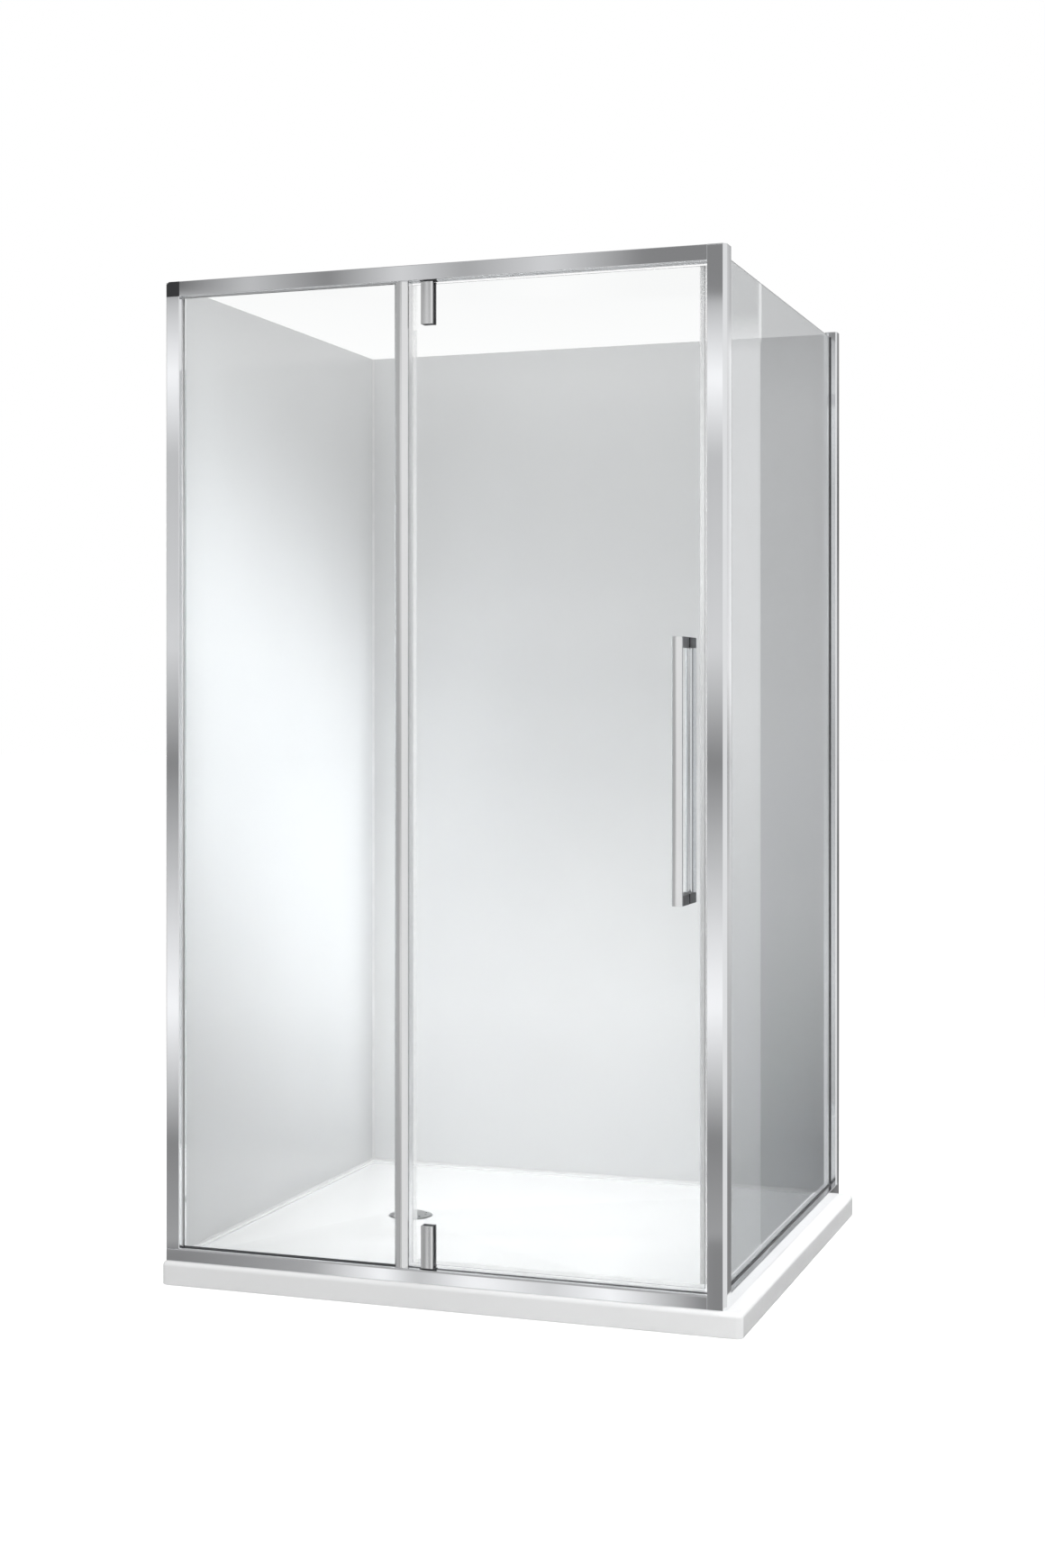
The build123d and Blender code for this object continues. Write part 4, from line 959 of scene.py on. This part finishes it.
def studio_world(scene, fill):
    """White surround with soft grey bands that only polished surfaces show."""
    left_share, right_share = 0.9, 0.92
    world = bpy.data.worlds.new("Studio")
    scene.world = world
    world.use_nodes = True
    tree = world.node_tree
    tree.nodes.clear()
    out = add(tree, "ShaderNodeOutputWorld")
    place = add(tree, "ShaderNodeTexCoord").outputs["Generated"]
    split = add(tree, "ShaderNodeSeparateXYZ")
    tree.links.new(place, split.inputs[0])
    rise = spread(tree, split.outputs["Z"], 0, 1, -SCALE_HALF, SCALE_HALF)
    turn = math_node(tree, "ARCTAN2", math_node(tree, "MULTIPLY", split.outputs["X"], -1),
                     math_node(tree, "MULTIPLY", split.outputs["Y"], -1))
    upright = upright_bands(tree, rise, (
        (-17, MID), (-10.9, DUSK), (-7.6, GLARE), (-4, MID), (-1.4, DUSK), (1.5, PALE), (6.4, MID),
        (8.4, GLARE), (11.4, DUSK), (17, PALE)))
    left = tones(tree, left_share, upright, grey(DIM))
    right = tones(tree, right_share, upright, grey(LIGHT))
    bands = front_surround(tree, rise, turn, upright)
    bands = tones(tree, beyond(tree, turn, LEFT_TURN), bands, left)
    bands = tones(tree, beyond(tree, turn, RIGHT_TURN), bands, right)
    bands = tones(tree, beyond(tree, turn, SIDE_TURN), bands, side_surround(tree, rise, turn))
    path = add(tree, "ShaderNodeLightPath")
    gloss = add(tree, "ShaderNodeBackground", {"Strength": GLOSS_STRENGTH})
    tree.links.new(bands, gloss.inputs["Color"])
    around = add(tree, "ShaderNodeBackground", {"Color": (1, 1, 1, 1), "Strength": fill})
    white = add(tree, "ShaderNodeBackground", {"Color": (1, 1, 1, 1), "Strength": 1.0})
    once = once_mirrored(tree, path)
    clear = math_node(tree, "SUBTRACT", 1, path.outputs["Is Diffuse Ray"])
    mirrored = math_node(tree, "MULTIPLY", once, clear)
    lit = mix_shaders(tree, mirrored, around.outputs[0], gloss.outputs[0])
    direct = math_node(tree, "MULTIPLY", seen_straight(tree, path), math_node(tree, "SUBTRACT", 1, once))
    tree.links.new(mix_shaders(tree, direct, lit, white.outputs[0]), out.inputs[0])


def lamp(name, place, aim, size, roll, cone, power):
    """Soft lamp that only lights, at a place, turned to a point, with its roll and cone in degrees."""
    data = bpy.data.lights.new(name, "AREA")
    data.shape = "RECTANGLE"
    data.size, data.size_y = size
    data.energy = power
    data.spread = math.radians(cone)
    obj = bpy.data.objects.new(name, data)
    bpy.context.scene.collection.objects.link(obj)
    facing = (Vector(aim) - Vector(place)).to_track_quat("-Z", "Y").to_matrix().to_4x4()
    obj.matrix_world = Matrix.Translation(place) @ facing @ Matrix.Rotation(math.radians(roll), 4, "Z")
    obj.visible_camera = False
    obj.visible_glossy = False
    obj.visible_transmission = False


def studio_floor(colour):
    """Plain pale floor that keeps the object's shadow and isn't mirrored."""
    bm = bmesh.new()
    bmesh.ops.create_grid(bm, x_segments=1, y_segments=1, size=FLOOR_HALF)
    bmesh.ops.translate(bm, vec=(0, 0, -FLOOR_DROP), verts=bm.verts)
    floor = from_bmesh("studio_floor", bm)
    material = bpy.data.materials.new("Studio floor")
    material.use_nodes = True
    tree = material.node_tree
    tree.nodes.clear()
    out = add(tree, "ShaderNodeOutputMaterial")
    matt = add(tree, "ShaderNodeBsdfDiffuse", {"Color": (*colour, 1)})
    glow = add(tree, "ShaderNodeEmission")
    path = add(tree, "ShaderNodeLightPath")
    strength = math_node(tree, "MULTIPLY", seen_straight(tree, path), FLOOR_GLOW)
    tree.links.new(strength, glow.inputs["Strength"])
    both = add(tree, "ShaderNodeAddShader")
    tree.links.new(matt.outputs[0], both.inputs[0])
    tree.links.new(glow.outputs[0], both.inputs[1])
    past = add(tree, "ShaderNodeBsdfTransparent")
    seen = mix_shaders(tree, once_mirrored(tree, path), both.outputs[0], past.outputs[0])
    tree.links.new(seen, out.inputs[0])
    floor.data.materials.append(material)
    floor.visible_glossy = False


def studio_camera(scene, lens):
    """Camera that sees the object as the photograph does."""
    data = bpy.data.cameras.new("camera")
    data.sensor_width = SENSOR_WIDTH
    data.lens = lens
    data.shift_y = CAMERA_SHIFT
    data.clip_end = 100
    camera = bpy.data.objects.new("camera", data)
    scene.collection.objects.link(camera)
    camera.location = CAMERA_PLACE
    camera.rotation_euler = (math.radians(CAMERA_TILT), 0, math.radians(CAMERA_TURN))
    scene.camera = camera


class SHOWER_OT_stage(bpy.types.Operator):
    """Set the floor, the lamps and the camera"""
    bl_idname = "shower.stage"
    bl_label = "Studio"

    def execute(self, context):
        studio = context.scene.shower_studio
        studio_floor(tuple(studio.floor))
        studio_world(context.scene, studio.fill)
        for name, settings in LAMPS.items():
            lamp(name, *settings, getattr(studio, name))
        studio_camera(context.scene, studio.lens)
        context.scene.view_settings.view_transform = "Standard"
        return {"FINISHED"}


class SHOWER_PT_panel(bpy.types.Panel):
    """Sizes, finishes and steps of the shower enclosure"""
    bl_idname = "SHOWER_PT_panel"
    bl_label = "Shower enclosure"
    bl_space_type = "VIEW_3D"
    bl_region_type = "UI"
    bl_category = "Shower"

    def draw(self, context):
        layout = self.layout
        for name, title in (("shower_metal", "Metal"), ("shower_glass", "Glass"),
                            ("shower_whites", "Tray and liners"), ("shower_studio", "Studio")):
            group = getattr(context.scene, name)
            box = layout.box()
            box.label(text=title)
            for key in group.__annotations__:
                box.prop(group, key)
        for step in steps:
            layout.operator(step.bl_idname)


groups = (ShowerMetal, ShowerGlass, ShowerWhites, ShowerStudio)
steps = (SHOWER_OT_finishes, SHOWER_OT_tray, SHOWER_OT_walls, SHOWER_OT_frame, SHOWER_OT_glass,
         SHOWER_OT_pivots, SHOWER_OT_seals, SHOWER_OT_handle, SHOWER_OT_stage)


def register():
    """Adds the classes and the scene's settings."""
    for cls in groups + steps + (SHOWER_PT_panel,):
        bpy.utils.register_class(cls)
    scene = bpy.types.Scene
    scene.shower_metal = bpy.props.PointerProperty(type=ShowerMetal)
    scene.shower_glass = bpy.props.PointerProperty(type=ShowerGlass)
    scene.shower_whites = bpy.props.PointerProperty(type=ShowerWhites)
    scene.shower_studio = bpy.props.PointerProperty(type=ShowerStudio)


def unregister():
    """Takes the settings and classes away again."""
    scene = bpy.types.Scene
    del scene.shower_metal, scene.shower_glass, scene.shower_whites, scene.shower_studio
    for cls in reversed(groups + steps + (SHOWER_PT_panel,)):
        bpy.utils.unregister_class(cls)


def main():
    """Builds every piece and the studio."""
    register()
    bpy.ops.shower.finishes()
    bpy.ops.shower.tray()
    bpy.ops.shower.walls()
    bpy.ops.shower.frame()
    bpy.ops.shower.glass()
    bpy.ops.shower.pivots()
    bpy.ops.shower.seals()
    bpy.ops.shower.handle()
    bpy.ops.shower.stage()


if __name__ == "__main__":
    main()
